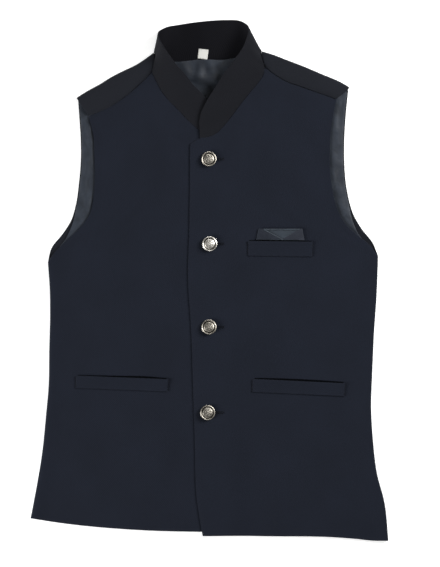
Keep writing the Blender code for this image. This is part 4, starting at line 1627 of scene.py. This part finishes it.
@dataclass
class Collar:
    """Band collar that stands round the neck and lies down at the back."""

    steps: int = 4
    rows: int = 18
    width: float = 50.0        # about, from the neck seam to the free edge
    wall: float = 2.0
    edge_round: float = 0.45
    root_gap: float = -0.1     # sewn into the seam, so no groove shows
    end_drop: float = 1.5      # the upper end lies this much closer than its solid
    end_from: float = 0.62     # where along the left neck it starts to
    flat: Flat = Flat(0.46, 0.06, 0.0214)

    def seam(self, fronts: Fronts) -> tuple[np.ndarray, dict[str, tuple[int, int]]]:
        """Neck seam in space, at the solids' points.

        Args:
            fronts: Heights of both fronts.

        Returns:
            Points of the seam, and each stretch's first point and number of steps.
        """
        ends = []
        for fold, line, sign in ((RIGHT_FOLD, RIGHT_SEAM, 1), (LEFT_FOLD, LEFT_SEAM, -1)):
            places = [
                shoulder_places(smooth_line(row), SOLID_EDGE_STEPS, SOLID_SHOULDER_COLUMNS)
                for row in (fold, line)
            ]
            rows_in = np.arange(1, SOLID_STRIP_ROWS + 1) / SOLID_STRIP_ROWS
            strip = Back.strip(fold, line, sign, places, SOLID_ROLL_ANGLES, rows_in, 0.0)
            ends.append(strip[:, -1])
        right_end, left_end = ends
        tops = []
        for neck, over in ((RIGHT_NECK, False), (LEFT_NECK, True)):
            plan = at_fractions(smooth_line(neck), np.linspace(0.0, 1.0, SOLID_NECK_COLUMNS + 1))
            tops.append(np.column_stack([plan, fronts.level(plan, over)]))
        back = at_fractions(smooth_line(BACK_NECK), np.linspace(0.0, 1.0, SOLID_BACK_COLUMNS + 1))
        low = np.column_stack([back, np.zeros(len(back))])
        low[0], low[-1] = right_end[0], left_end[0]
        turns = len(SOLID_ROLL_ANGLES) - 1
        stretches = {
            "right neck": tops[0][::-1], "right strip": right_end[turns:][::-1],
            "right roll": right_end[:turns + 1][::-1], "back neck": low,
            "left roll": left_end[:turns + 1], "left strip": left_end[turns:],
            "left neck": tops[1],
        }
        points: list[np.ndarray] = []
        starts = {}
        for name, stretch in stretches.items():
            first = 0 if not points else 1
            starts[name] = (len(points) - first, len(stretch) - 1)
            points.extend(stretch[first:])
        return np.array(points), starts

    def grid(self, fronts: Fronts) -> np.ndarray:
        """Outer face of the collar.

        Args:
            fronts: Heights of both fronts.

        Returns:
            Grid of points, rows from the neck seam to the free edge.
        """
        coarse, starts = self.seam(fronts)
        knots = []
        for stretch, share, *_ in COLLAR_FREE_EDGE:
            start, count = starts[stretch]
            knots.append(start + (1.0 - share if stretch == "right neck" else share) * count)
        numbers = np.arange(len(coarse), dtype=float)
        places = np.linspace(0.0, numbers[-1], self.steps * (len(coarse) - 1) + 1)
        seam = hermite(numbers, coarse, places)
        free = hermite(knots, [row[2:] for row in COLLAR_FREE_EDGE], places)
        free[:, 2] = np.maximum(free[:, 2], 0.0)
        start, count = starts["left neck"]
        ending = ((places - start) / count - self.end_from) / (1.0 - self.end_from)
        free[:, 2] -= self.end_drop * smoothstep(ending)
        ruling = unit(free - seam)
        root = seam + ruling * self.root_gap
        beneath = np.clip(1.0 - seam[:, 2] / CUT.shoulder_roll, 0.0, 1.0)
        lean = (CUT.cloth * ruling[:, 2] * beneath)[:, None]
        root[:, :2] += lean * unit(ruling[:, :2])
        standing = smoothstep((free[:, 2] - CUT.collar_lying) / CUT.collar_lying)
        rows = []
        for share in stations(self.width, self.rows, start=True, end=True):
            row = root * (1 - share) + free * share
            row[:, 2] += CUT.collar_bow * math.sin(math.pi * share) * standing
            rows.append(row)
        return np.stack(rows)

    def build(self, fronts: Fronts) -> None:
        """Make the collar.

        Args:
            fronts: Heights of both fronts.
        """
        band = Wall(self.wall, self.edge_round, lined=True)
        mesh = band.mesh("collar_band", [self.grid(fronts)], True)
        # The inner face takes the collar cloth's darker copy: painted shade
        piece = place("collar_band", mesh, COLLAR_CLOTH, ["collar"], inner=COLLAR_INNER_SHADE)
        self.flat.declare(piece, ["back_cloth", "right_front_cloth", "left_front_cloth"])


# What lies on the fronts

@dataclass(frozen=True)
class Welt:
    """Welt pocket: a turned strip sewn down below its mouth, with a facing behind it whose
    near-black colour is painted shade of the gaping mouth.
    """

    name: str
    node: str
    left: tuple[float, float]
    right: tuple[float, float]
    height: float
    mouth: tuple[float, ...]      # width of the near-black facing that shows as the mouth's painted shade, at even places along it
    over: bool
    groove_in: float = 3.0
    groove_depth: float = 0.4
    groove_width: float = 0.8
    wall: float = 1.3
    edge_round: float = 0.55
    solid_wall: float = 1.6
    mouth_lift: float = 0.9
    lift_from: float = 0.3          # share of the height where the lift starts
    edge_fall: float = 0.35
    edge_reach: float = 2.2
    columns: int = 70
    rows: int = 18
    facing_ends: float = 0.02       # share of the mouth left free at each end
    facing_columns: int = 61
    facing_rows: int = 7
    facing_tuck: float = 1.6        # how far it reaches under the strip
    facing_least: float = 0.3
    facing_lift: float = 0.15
    facing_wall: float = 0.35
    facing_round: float = 0.1
    tack_pitch: float = 0.8
    tack_margin: float = 1.0        # from the mouth and from the sewn edge
    tack_in: float = 1.1
    tack_out: float = 1.0
    tack_sink: float = 0.2
    tack_rest: float = 0.1
    tack_arch: float = 0.2

    def frame(self) -> tuple[np.ndarray, np.ndarray, np.ndarray, float]:
        """Place of the mouth.

        Returns:
            Its left corner, the directions along it and down from it, and its length.
        """
        start = np.array(self.left)
        run = np.array(self.right) - start
        length = float(np.linalg.norm(run))
        along = run / length
        return start, along, np.array([along[1], -along[0]]), length

    def rise(self, share: np.ndarray) -> np.ndarray:
        """Lift of the strip towards its mouth, at shares of its height."""
        return self.mouth_lift * smoothstep((share - self.lift_from) / (1.0 - self.lift_from))

    def strip_grid(self, fronts: Fronts) -> np.ndarray:
        """Outer face of the strip.

        Args:
            fronts: Heights of both fronts.

        Returns:
            Grid of points, rows from the sewn edge up to the mouth.
        """
        start, along, down, length = self.frame()
        u = stations(length, self.columns, start=True, end=True)[None, :, None]
        v = stations(self.height, self.rows, start=True, end=True)[:, None, None]
        plan = start + along * length * u + down * self.height * (1.0 - v)
        lift = self.rise(v[..., 0]) * np.ones(plan.shape[:2])
        below_mouth = (1.0 - v[..., 0]) * self.height
        groove = ridge(below_mouth, self.groove_in, self.groove_width)
        from_end = np.minimum(u[..., 0], 1.0 - u[..., 0]) * length
        from_rim = np.minimum(np.minimum(below_mouth, v[..., 0] * self.height), from_end)
        fall = np.clip(1.0 - from_rim / self.edge_reach, 0.0, 1.0) ** 2
        lift = lift + self.solid_wall - self.groove_depth * groove - self.edge_fall * fall
        return fronts.laid(plan, self.over, lift)

    def facing_grid(self, fronts: Fronts) -> np.ndarray:
        """Outer face of the facing that shows along the mouth, near-black as painted shade of the
        gaping mouth.

        Args:
            fronts: Heights of both fronts.

        Returns:
            Grid of points, rows from under the strip upward.
        """
        start, along, down, length = self.frame()
        u = np.linspace(self.facing_ends, 1.0 - self.facing_ends, self.facing_columns)
        wide = hermite(np.linspace(0.0, 1.0, len(self.mouth)), np.array(self.mouth)[:, None], u)
        v = np.linspace(-1.0, 1.0, self.facing_rows)[:, None, None]
        reach = np.where(v < 0.0, self.facing_tuck, np.maximum(wide[None], self.facing_least))
        plan = start + along * length * u[None, :, None] - down * reach * v
        return fronts.laid(plan, self.over, self.facing_lift * np.ones(plan.shape[:2]))

    def build(self, fronts: Fronts) -> None:
        """Make the welt, its facing and its end stitches.

        Args:
            fronts: Heights of both fronts.
        """
        strip = Wall(self.wall, self.edge_round)
        welt = place(
            f"{self.name}_cloth", strip.mesh(self.name, [self.strip_grid(fronts)]),
            SUITING, [self.node],
        )
        backing = Wall(self.facing_wall, self.facing_round)
        name = f"{self.name}_facing"
        # The facing's near-black finish is painted shade of the gaping mouth
        facing = place(name, backing.mesh(name, [self.facing_grid(fronts)]), POCKET_MOUTH_SHADE)
        tacks = place(f"{self.name}_tacks", self.tacks(fronts), DARK_THREAD)
        carrier = "left_front_cloth" if self.over else "right_front_cloth"
        length = self.frame()[3] * MM
        Flat(length, self.height * MM).declare(welt, [carrier], [facing, tacks])

    def tacks(self, fronts: Fronts) -> bpy.types.Mesh:
        """Stitches that hold both ends of the welt to the front.

        Args:
            fronts: Heights of both fronts.

        Returns:
            One mesh of them all.
        """
        start, along, down, length = self.frame()
        count = round((self.height - 2 * self.tack_margin) / self.tack_pitch)
        drops = self.tack_margin + np.arange(count) * self.tack_pitch
        ends = []
        for place_along in (0.0, length):
            sign = -1.0 if place_along == 0.0 else 1.0
            first = start + along * (place_along - sign * self.tack_in) + down * drops[:, None]
            last = start + along * (place_along + sign * self.tack_out) + down * drops[:, None]
            level = self.rise(1.0 - drops / self.height) + self.solid_wall
            ends.append((
                fronts.laid(first, self.over, level - self.tack_sink),
                fronts.laid(last, self.over, self.tack_rest),
            ))
        starts = np.concatenate([pair[0] for pair in ends])
        stops = np.concatenate([pair[1] for pair in ends])
        return Stitches(lift=self.tack_arch).mesh(f"{self.name}_tacks", starts, stops)


@dataclass(frozen=True)
class PocketSquare:
    """Satin square folded flat in the chest pocket: a back layer and two flaps over it."""

    centre_x: float = 102.8
    mouth_width: float = 70.0
    top_width: float = 63.5
    rise: float = 16.4
    clear: float = 1.6      # the pocket's mouth, with its painted shade, shows under the square
    wall: float = 0.7
    solid_wall: float = 1.0
    turned: float = 1.8     # width of the folded edges: the satin's face, drawn lighter than the square as painted highlight on the folds
    meet: tuple[float, float] = (3.4, 1.2)  # where the flaps meet, from the mouth's middle
    left_share: float = 0.12    # of the top, where the left flap's edge ends
    right_share: float = 0.06   # of the top, where the right flap's edge ends
    inset: float = 0.015        # how much smaller each flap is drawn than its corners
    columns: int = 45
    rows: int = 19
    puff: float = 0.35
    edge_round: float = 0.3
    flap_lift: float = 0.85
    flap_wall: float = 0.6
    flap_round: float = 0.25
    turn_lift: float = 1.2
    turn_wall: float = 0.3
    turn_round: float = 0.12
    taper_area: float = 0.95    # the square narrows to its top

    def outline(self, welt: Welt) -> np.ndarray:
        """Corners of the square in plan.

        Args:
            welt: The pocket's welt.

        Returns:
            Mouth left and right, top right and left, then the flaps' meeting point.
        """
        slope = (welt.right[1] - welt.left[1]) / (welt.right[0] - welt.left[0])
        mouth_y = welt.left[1] + slope * (self.centre_x - welt.left[0]) + self.clear
        half, top = self.mouth_width / 2, self.top_width / 2
        x = self.centre_x
        return np.array([
            (x - half, mouth_y - slope * half), (x + half, mouth_y + slope * half),
            (x + top, mouth_y + self.rise), (x - top, mouth_y + self.rise),
            (x + self.meet[0], mouth_y + self.meet[1]),
        ])

    def patch(self, corners: Sequence[np.ndarray], fronts: Fronts, lift: float) -> np.ndarray:
        """Upper face over four corners, puffed a little.

        Args:
            corners: Low left, low right, top right and top left.
            fronts: Heights of both fronts.
            lift: Height of its edges above the front.

        Returns:
            Grid of points, rows from the mouth up.
        """
        u = np.linspace(0.0, 1.0, self.columns)[None, :, None]
        v = np.linspace(0.0, 1.0, self.rows)[:, None, None]
        low = corners[0] * (1 - u) + corners[1] * u
        high = corners[3] * (1 - u) + corners[2] * u
        plan = low * (1 - v) + high * v
        soft = self.puff * np.sin(math.pi * u[..., 0]) * np.sin(math.pi * v[..., 0])
        return fronts.laid(plan, True, lift + soft)

    def build(self, welt: Welt, fronts: Fronts) -> None:
        """Make the layers of the square.

        Args:
            welt: The pocket's welt.
            fronts: Heights of both fronts.
        """
        low_left, low_right, top_right, top_left, meet = self.outline(welt)
        whole = self.patch([low_left, low_right, top_right, top_left], fronts, self.solid_wall)
        base = place(
            "pocket_square_satin", Wall(self.wall, self.edge_round).mesh("square", [whole]),
            SQUARE_SATIN, ["pocket_square"],
        )
        left_top = top_left + (top_right - top_left) * self.left_share
        right_top = top_right + (top_left - top_right) * self.right_share
        layers = []
        flap = Wall(self.flap_wall, self.flap_round)
        # The left flap's darker satin is painted shade; both flaps show the same reverse face
        for name, finish, corners in (
            ("square_flap_left", SQUARE_REVERSE_SHADE, [low_left, meet, left_top, top_left]),
            ("square_flap_right", SQUARE_REVERSE, [meet, low_right, top_right, right_top]),
        ):
            middle = np.mean(corners, axis=0)
            drawn_in = [corner * (1.0 - self.inset) + middle * self.inset for corner in corners]
            grid = self.patch(drawn_in, fronts, self.solid_wall + self.flap_lift)
            layers.append(place(name, flap.mesh(name, [grid]), finish))
        down = np.array([0.0, -self.turned])
        edge = Wall(self.turn_wall, self.turn_round)
        # The turned edges' lighter satin is a painted highlight along the folds
        for name, corners in (
            ("square_edge_left", [meet + down, meet, left_top, left_top + down]),
            ("square_edge_top", [left_top + down, right_top + down, right_top, left_top]),
        ):
            grid = self.patch(corners, fronts, self.solid_wall + self.turn_lift)
            layers.append(place(name, edge.mesh(name, [grid]), SQUARE_TURN_HIGHLIGHT))
        wide, tall = self.mouth_width * MM, self.rise * MM
        flat = Flat(wide, tall, wide * tall * self.taper_area, Held.FOLDED)
        flat.declare(base, ["left_front_cloth"], layers)


@dataclass(frozen=True)
class NeckLabel:
    """Bare label sewn inside the back of the collar."""

    size: tuple[float, float] = (14.2, 14.0)
    centre: tuple[float, float] = (-9.2, 328.2)
    turn: float = -7.0
    wall: float = 0.45
    edge_round: float = 0.2
    points: int = 21            # along each side
    curl: float = 0.5
    curl_left: float = 0.4      # share of the curl at the left edge
    curl_power: int = 4
    stitch: float = 1.5
    stitch_gap: float = 0.01    # share of the side, at each end of a stitch
    stitch_radius: float = 0.14
    stitch_arch: float = 0.12
    stitch_lift: float = 0.05
    inset: float = 1.1

    def point(self, u: np.ndarray, v: np.ndarray, lift: float) -> np.ndarray:
        """Points of the label at shares of its width and height.

        Args:
            u: Shares of its width.
            v: Shares of its height.
            lift: Height over the lining.

        Returns:
            One point for each pair of shares.
        """
        swing = math.radians(self.turn)
        x = (u - 0.5) * self.size[0]
        y = (v - 0.5) * self.size[1]
        growth = self.curl_left + (1.0 - self.curl_left) * u
        rise = self.curl * (2.0 * np.abs(v - 0.5)) ** self.curl_power * growth
        level = CUT.cloth + CUT.seam_gap + lift + rise
        return np.stack([
            self.centre[0] + x * math.cos(swing) - y * math.sin(swing),
            self.centre[1] + x * math.sin(swing) + y * math.cos(swing), level,
        ], axis=-1)

    def build(self) -> None:
        """Make the tape and the stitches round its edge."""
        even = np.linspace(0.0, 1.0, self.points)
        grid = self.point(*np.meshgrid(even, even), self.wall)
        tape = place(
            "neck_label_tape", Wall(self.wall, self.edge_round).mesh("label", [grid]),
            LABEL_TAPE, ["neck_label"],
        )
        first, last = [], []
        lift = self.wall + self.stitch_lift
        for axis in (0, 1):
            margin = self.inset / self.size[axis]
            count = int((self.size[axis] - 2 * self.inset) / self.stitch)
            run = np.linspace(margin, 1 - margin, count + 1)
            low, high = run[:-1] + self.stitch_gap, run[1:] - self.stitch_gap
            far = self.inset / self.size[1 - axis]
            for edge in (far, 1 - far):
                still = np.full(count, edge)
                pair = ((low, still), (high, still)) if axis == 0 else ((still, low), (still, high))
                first.append(self.point(*pair[0], lift))
                last.append(self.point(*pair[1], lift))
        thread = Stitches(self.stitch_radius, self.stitch_arch)
        mesh = thread.mesh("label_stitches", np.concatenate(first), np.concatenate(last))
        stitches = place("neck_label_stitches", mesh, LABEL_THREAD)
        Flat(self.size[0] * MM, self.size[1] * MM).declare(tape, ["collar_band"], [stitches])


@dataclass(frozen=True)
class ShankButton:
    """Turned and cast shank button: a bright rim, a dark groove and a domed rosette."""

    number: int
    place_xy: tuple[float, float]
    lean: tuple[float, float]      # degrees about X and about Y
    spin: float
    finish: Pewter
    sides: int = 96
    petals: int = 6
    beads: int = 36
    rings: tuple[float, ...] = (2.9, 5.4)     # radii of the shallow rings cut in the dome
    ring_width: float = 0.5
    ring_depth: float = 0.16
    ring_patina: float = 0.75
    petal_radius: float = 4.2
    petal_width: float = 0.9
    petal_height: float = 0.06
    petal_patina: float = 0.8
    bead_radius: float = 6.7
    bead_width: float = 0.5
    bead_height: float = 0.06
    bead_patina: float = 0.35
    groove_radius: float = 8.2
    groove_width: float = 1.0
    dot_width: float = 0.8
    face_above: float = 3.0     # the cast face lies above this height
    face_radius: float = 10.9
    rows: int = 64
    # radius, height above the cloth, from the crown's centre to the shank
    profile: tuple[tuple[float, float], ...] = (
        (0.0, 5.1), (0.6, 5.12), (1.3, 5.2), (2.4, 5.15), (3.6, 5.0), (5.0, 4.85), (6.2, 4.6),
        (7.0, 4.2), (7.7, 3.4), (8.3, 3.15), (8.8, 3.6), (9.2, 4.3), (9.9, 4.6), (10.6, 4.3),
        (11.0, 3.5), (10.8, 2.7), (10.2, 2.3), (7.0, 2.15), (2.6, 2.05), (2.6, 0.1), (0.0, 0.1),
    )

    def mesh(self) -> bpy.types.Mesh:
        """Turned body with its cast pattern.

        Returns:
            The mesh, with a map of its recesses.
        """
        rows = np.array(self.profile)
        knots = lengths_along(rows)
        fine = np.unique(np.concatenate([np.linspace(0.0, knots[-1], self.rows), knots]))
        line = np.stack([np.interp(fine, knots, rows[:, k]) for k in range(2)], axis=1)
        turn = np.linspace(0.0, 2 * math.pi, self.sides, endpoint=False)
        radius = line[1:-1, 0][:, None]
        height = line[1:-1, 1][:, None]
        face = (height > self.face_above) & (radius < self.face_radius)
        petal = np.cos(self.petals * turn) * ridge(radius, self.petal_radius, self.petal_width)
        bead = np.cos(self.beads * turn) * ridge(radius, self.bead_radius, self.bead_width)
        rings = sum(ridge(radius, ring, self.ring_width) for ring in self.rings)
        relief = self.petal_height * petal + self.bead_height * bead - self.ring_depth * rings
        z = height + np.where(face, relief, 0.0)
        points = np.stack([radius * np.cos(turn), radius * np.sin(turn), z], axis=-1)
        count = len(points)
        body = points.reshape(-1, 3)
        centre_top = np.array([[0.0, 0.0, line[0, 1]]])
        centre_low = np.array([[0.0, 0.0, line[-1, 1]]])
        after = np.roll(np.arange(self.sides), -1)
        faces = []
        for ring in range(count - 1):
            for side in range(self.sides):
                low, high = ring * self.sides, (ring + 1) * self.sides
                faces.append([low + side, high + side, high + after[side], low + after[side]])
        last = (count - 1) * self.sides
        for side in range(self.sides):
            faces.append([count * self.sides, side, after[side]])
            faces.append([count * self.sides + 1, last + after[side], last + side])
        every = np.concatenate([body, centre_top, centre_low])
        made = solid_mesh(f"button_{self.number}_cast", every, faces)
        groove = ridge(radius, self.groove_radius, self.groove_width)
        dot = ridge(radius, 0.0, self.dot_width)
        between = (
            self.petal_patina * np.clip(-petal, 0.0, 1.0)
            + self.bead_patina * np.clip(-bead, 0.0, 1.0)
        )
        recess = groove + dot + self.ring_patina * rings + between
        depth = np.clip(recess, 0.0, 1.0) * np.ones_like(z)
        values = np.concatenate([depth.reshape(-1), [1.0, 1.0]])
        layer = made.attributes.new(RECESS, "FLOAT", "POINT")
        layer.data.foreach_set("value", values.astype(np.float32))
        return made

    def build(self, fronts: Fronts) -> None:
        """Make the button and its buttonhole.

        Args:
            fronts: Heights of both fronts.
        """
        x, y = self.place_xy
        seat = float(fronts.height(np.array([[x, y]]), True)[0]) + LAY_GAP
        turns = (*self.lean, self.spin)
        place(
            f"button_{self.number}_cast", self.mesh(), self.finish, [f"button_{self.number}"],
            at=(x, y, seat), turns=turns,
        )
        Buttonhole(self.number, y).build(fronts)


@dataclass(frozen=True)
class Buttonhole:
    """Cut slot bound with purl stitches, which runs out from under the button."""

    number: int
    y: float
    start: float = -3.0
    end: float = 19.7
    pitch: float = 0.62
    bite: float = 1.5
    slot: float = 0.32
    slant: float = 0.15         # each purl leans this much
    end_purls: int = 5
    radius: float = 0.3
    arch: float = 0.22
    lip_sink: float = 0.2       # how deep the purls lie in the cloth, at the slot and outside it
    foot_sink: float = 0.25

    def build(self, fronts: Fronts) -> None:
        """Make the purls along both lips and across the outer end.

        Args:
            fronts: Heights of both fronts.
        """
        xs = np.arange(self.start, self.end, self.pitch)
        first, last = [], []
        for sign in (-1.0, 1.0):
            lip = np.full(len(xs), self.y + sign * self.slot)
            foot = np.full(len(xs), self.y + sign * (self.slot + self.bite))
            first.append(np.stack([xs, lip], axis=1))
            last.append(np.stack([xs + self.slant, foot], axis=1))
        drops = np.linspace(-1.0, 1.0, self.end_purls) * self.bite
        tack = np.stack([np.full(self.end_purls, self.end), self.y + drops], axis=1)
        first.append(tack)
        last.append(tack + np.array([self.bite, 0.0]))
        starts = fronts.laid(np.concatenate(first), True, -self.lip_sink)
        stops = fronts.laid(np.concatenate(last), True, -self.foot_sink)
        purls = Stitches(self.radius, self.arch)
        mesh = purls.mesh(f"buttonhole_{self.number}", starts, stops)
        place(f"buttonhole_{self.number}_purls", mesh, DARK_THREAD)


# Room

@dataclass(frozen=True)
class Studio:
    """Pale floor, soft lights and the camera straight above the jacket; lengths in metres."""

    centre: tuple[float, float] = (0.0154, -0.00435)
    frame_height: float = 0.8222   # metres that the photo's long side covers
    distance: float = 5.0
    sensor: float = 36.0           # millimetres, as is the lens
    floor_size: float = 14.0
    floor_drop: float = 0.4        # millimetres, so that the cloth's underside stays clear
    floor_colour: str = "#F6F6F5"
    world_colour: str = "#E9EDF2"
    world_strength: float = 0.1
    table_glow: float = 0.46       # a light table, which takes the shadows off the paper

    def build(self) -> None:
        """Make the floor, the world, the lights and the camera."""
        self.floor()
        self.world()
        # name, place, size, watts, whether cloth takes its light; the cards show only as gloss
        for name, spot, size, power, on_cloth in (
            ("right_light", (1.85, 0.9, 1.39), 1.1, 82.0, True),
            ("left_light", (-2.0, -0.7, 0.85), 0.9, 71.0, True),
            ("top_light", (0.8, 0.6, 2.5), 1.2, 8.0, True),
            ("upper_card", (0.2, 1.9, 1.2), 0.5, 11.0, False),
            ("lower_card", (-0.1, -1.9, 1.2), 0.5, 7.0, False),
        ):
            self.light(name, spot, size, power, on_cloth)
        self.camera()

    def floor(self) -> None:
        """Plain pale surface under the jacket."""
        bpy.ops.mesh.primitive_plane_add(
            size=self.floor_size, location=(0.0, 0.0, -self.floor_drop * MM)
        )
        floor = bpy.context.object
        floor.name = "floor"
        material, tree, output = blank_material("matt_studio_paper")
        shader = add_node(tree, "ShaderNodeBsdfPrincipled", {
            "Base Color": linear(self.floor_colour), "Roughness": 0.9, "Specular IOR Level": 0.1,
            "Emission Color": linear(self.floor_colour), "Emission Strength": self.table_glow,
        })
        tree.links.new(shader.outputs["BSDF"], output.inputs["Surface"])
        floor.data.materials.append(material)

    def world(self) -> None:
        """Even soft light from all round."""
        world = bpy.data.worlds.new("studio_world")
        world.use_nodes = True
        background = world.node_tree.nodes["Background"]
        background.inputs["Color"].default_value = linear(self.world_colour)
        background.inputs["Strength"].default_value = self.world_strength
        bpy.context.scene.world = world

    @staticmethod
    def light(
        name: str, spot: tuple[float, float, float], size: float, power: float, on_cloth: bool
    ) -> None:
        """Soft square light that looks at the jacket.

        Args:
            name: Name of the light.
            spot: Its place, in metres.
            size: Its side, in metres.
            power: Its power, in watts.
            on_cloth: Whether it lights matt surfaces too, or shows only in reflections.
        """
        data = bpy.data.lights.new(name, "AREA")
        data.size = size
        data.energy = power
        lamp = bpy.data.objects.new(name, data)
        lamp.location = spot
        lamp.rotation_euler = (-Vector(spot)).to_track_quat("-Z", "Y").to_euler()
        lamp.visible_camera = False
        lamp.visible_diffuse = on_cloth
        bpy.context.scene.collection.objects.link(lamp)

    def camera(self) -> None:
        """Camera that looks straight down, with the photo's frame."""
        data = bpy.data.cameras.new("camera")
        data.sensor_width = self.sensor
        data.lens = self.sensor * self.distance / self.frame_height
        camera = bpy.data.objects.new("camera", data)
        camera.location = (*self.centre, self.distance)
        bpy.context.scene.collection.objects.link(camera)
        bpy.context.scene.camera = camera
        bpy.context.scene.view_settings.view_transform = "Standard"


RIGHT_FRONT = Front(
    "right_front_cloth", "front_right", SideCut(RIGHT_SIDE, RIGHT_ARM_FRONT, -1),
    RIGHT_SEAM, RIGHT_NECK, RIGHT_HEM, RIGHT_FRONT_EDGE, False, Flat(0.29, 0.68, 0.148),
)
LEFT_FRONT = Front(
    "left_front_cloth", "front_left", SideCut(LEFT_SIDE, LEFT_ARM_FRONT, 1),
    LEFT_SEAM, LEFT_NECK, LEFT_HEM, LEFT_FRONT_EDGE, True, Flat(0.29, 0.70, 0.158),
    corner=LEFT_NECK_CORNER,
)
CHEST_WELT = Welt(
    "welt_chest", "welt_chest", (56.0, 57.6), (149.6, 56.4), 22.2, (0.6, 1.4, 1.6, 1.5, 0.8), True,
    groove_in=6.2,
)
LOWER_WELTS = (
    Welt(
        "welt_lower_right", "welt_lower_right", (-193.0, -137.4), (-59.3, -142.6), 18.6,
        (0.4, 1.2, 1.9, 2.6, 1.0), False, groove_in=15.0,
    ),
    Welt(
        "welt_lower_left", "welt_lower_left", (62.8, -142.2), (196.6, -148.6), 19.4,
        (1.0, 2.2, 2.6, 2.4, 1.6), True, groove_in=15.6,
    ),
)
BUTTON_ROWS = [
    # number, lean about X and Y in degrees, spin, finish
    (1, (-5.0, 5.0), 10.0, PEWTER),
    # Button 2's brighter pewter is a painted highlight
    (2, (-3.0, 5.0), 0.0, PAINTED_HIGHLIGHT_PEWTER),
    (3, (-5.0, 4.0), 30.0, PEWTER),
    (4, (6.0, 6.0), 55.0, PEWTER),
]


def main() -> None:
    """Build the room and every piece of the jacket."""
    Studio().build()
    fronts = Fronts()
    Back().build()
    outlines = [RIGHT_FRONT.build(fronts), LEFT_FRONT.build(fronts)]
    BackLining().build(outlines)
    Collar().build(fronts)
    for welt in (*LOWER_WELTS, CHEST_WELT):
        welt.build(fronts)
    PocketSquare().build(CHEST_WELT, fronts)
    NeckLabel().build()
    for number, lean, spin, finish in BUTTON_ROWS:
        ShankButton(number, BUTTONS[number - 1], lean, spin, finish).build(fronts)


if __name__ == "__main__":
    main()
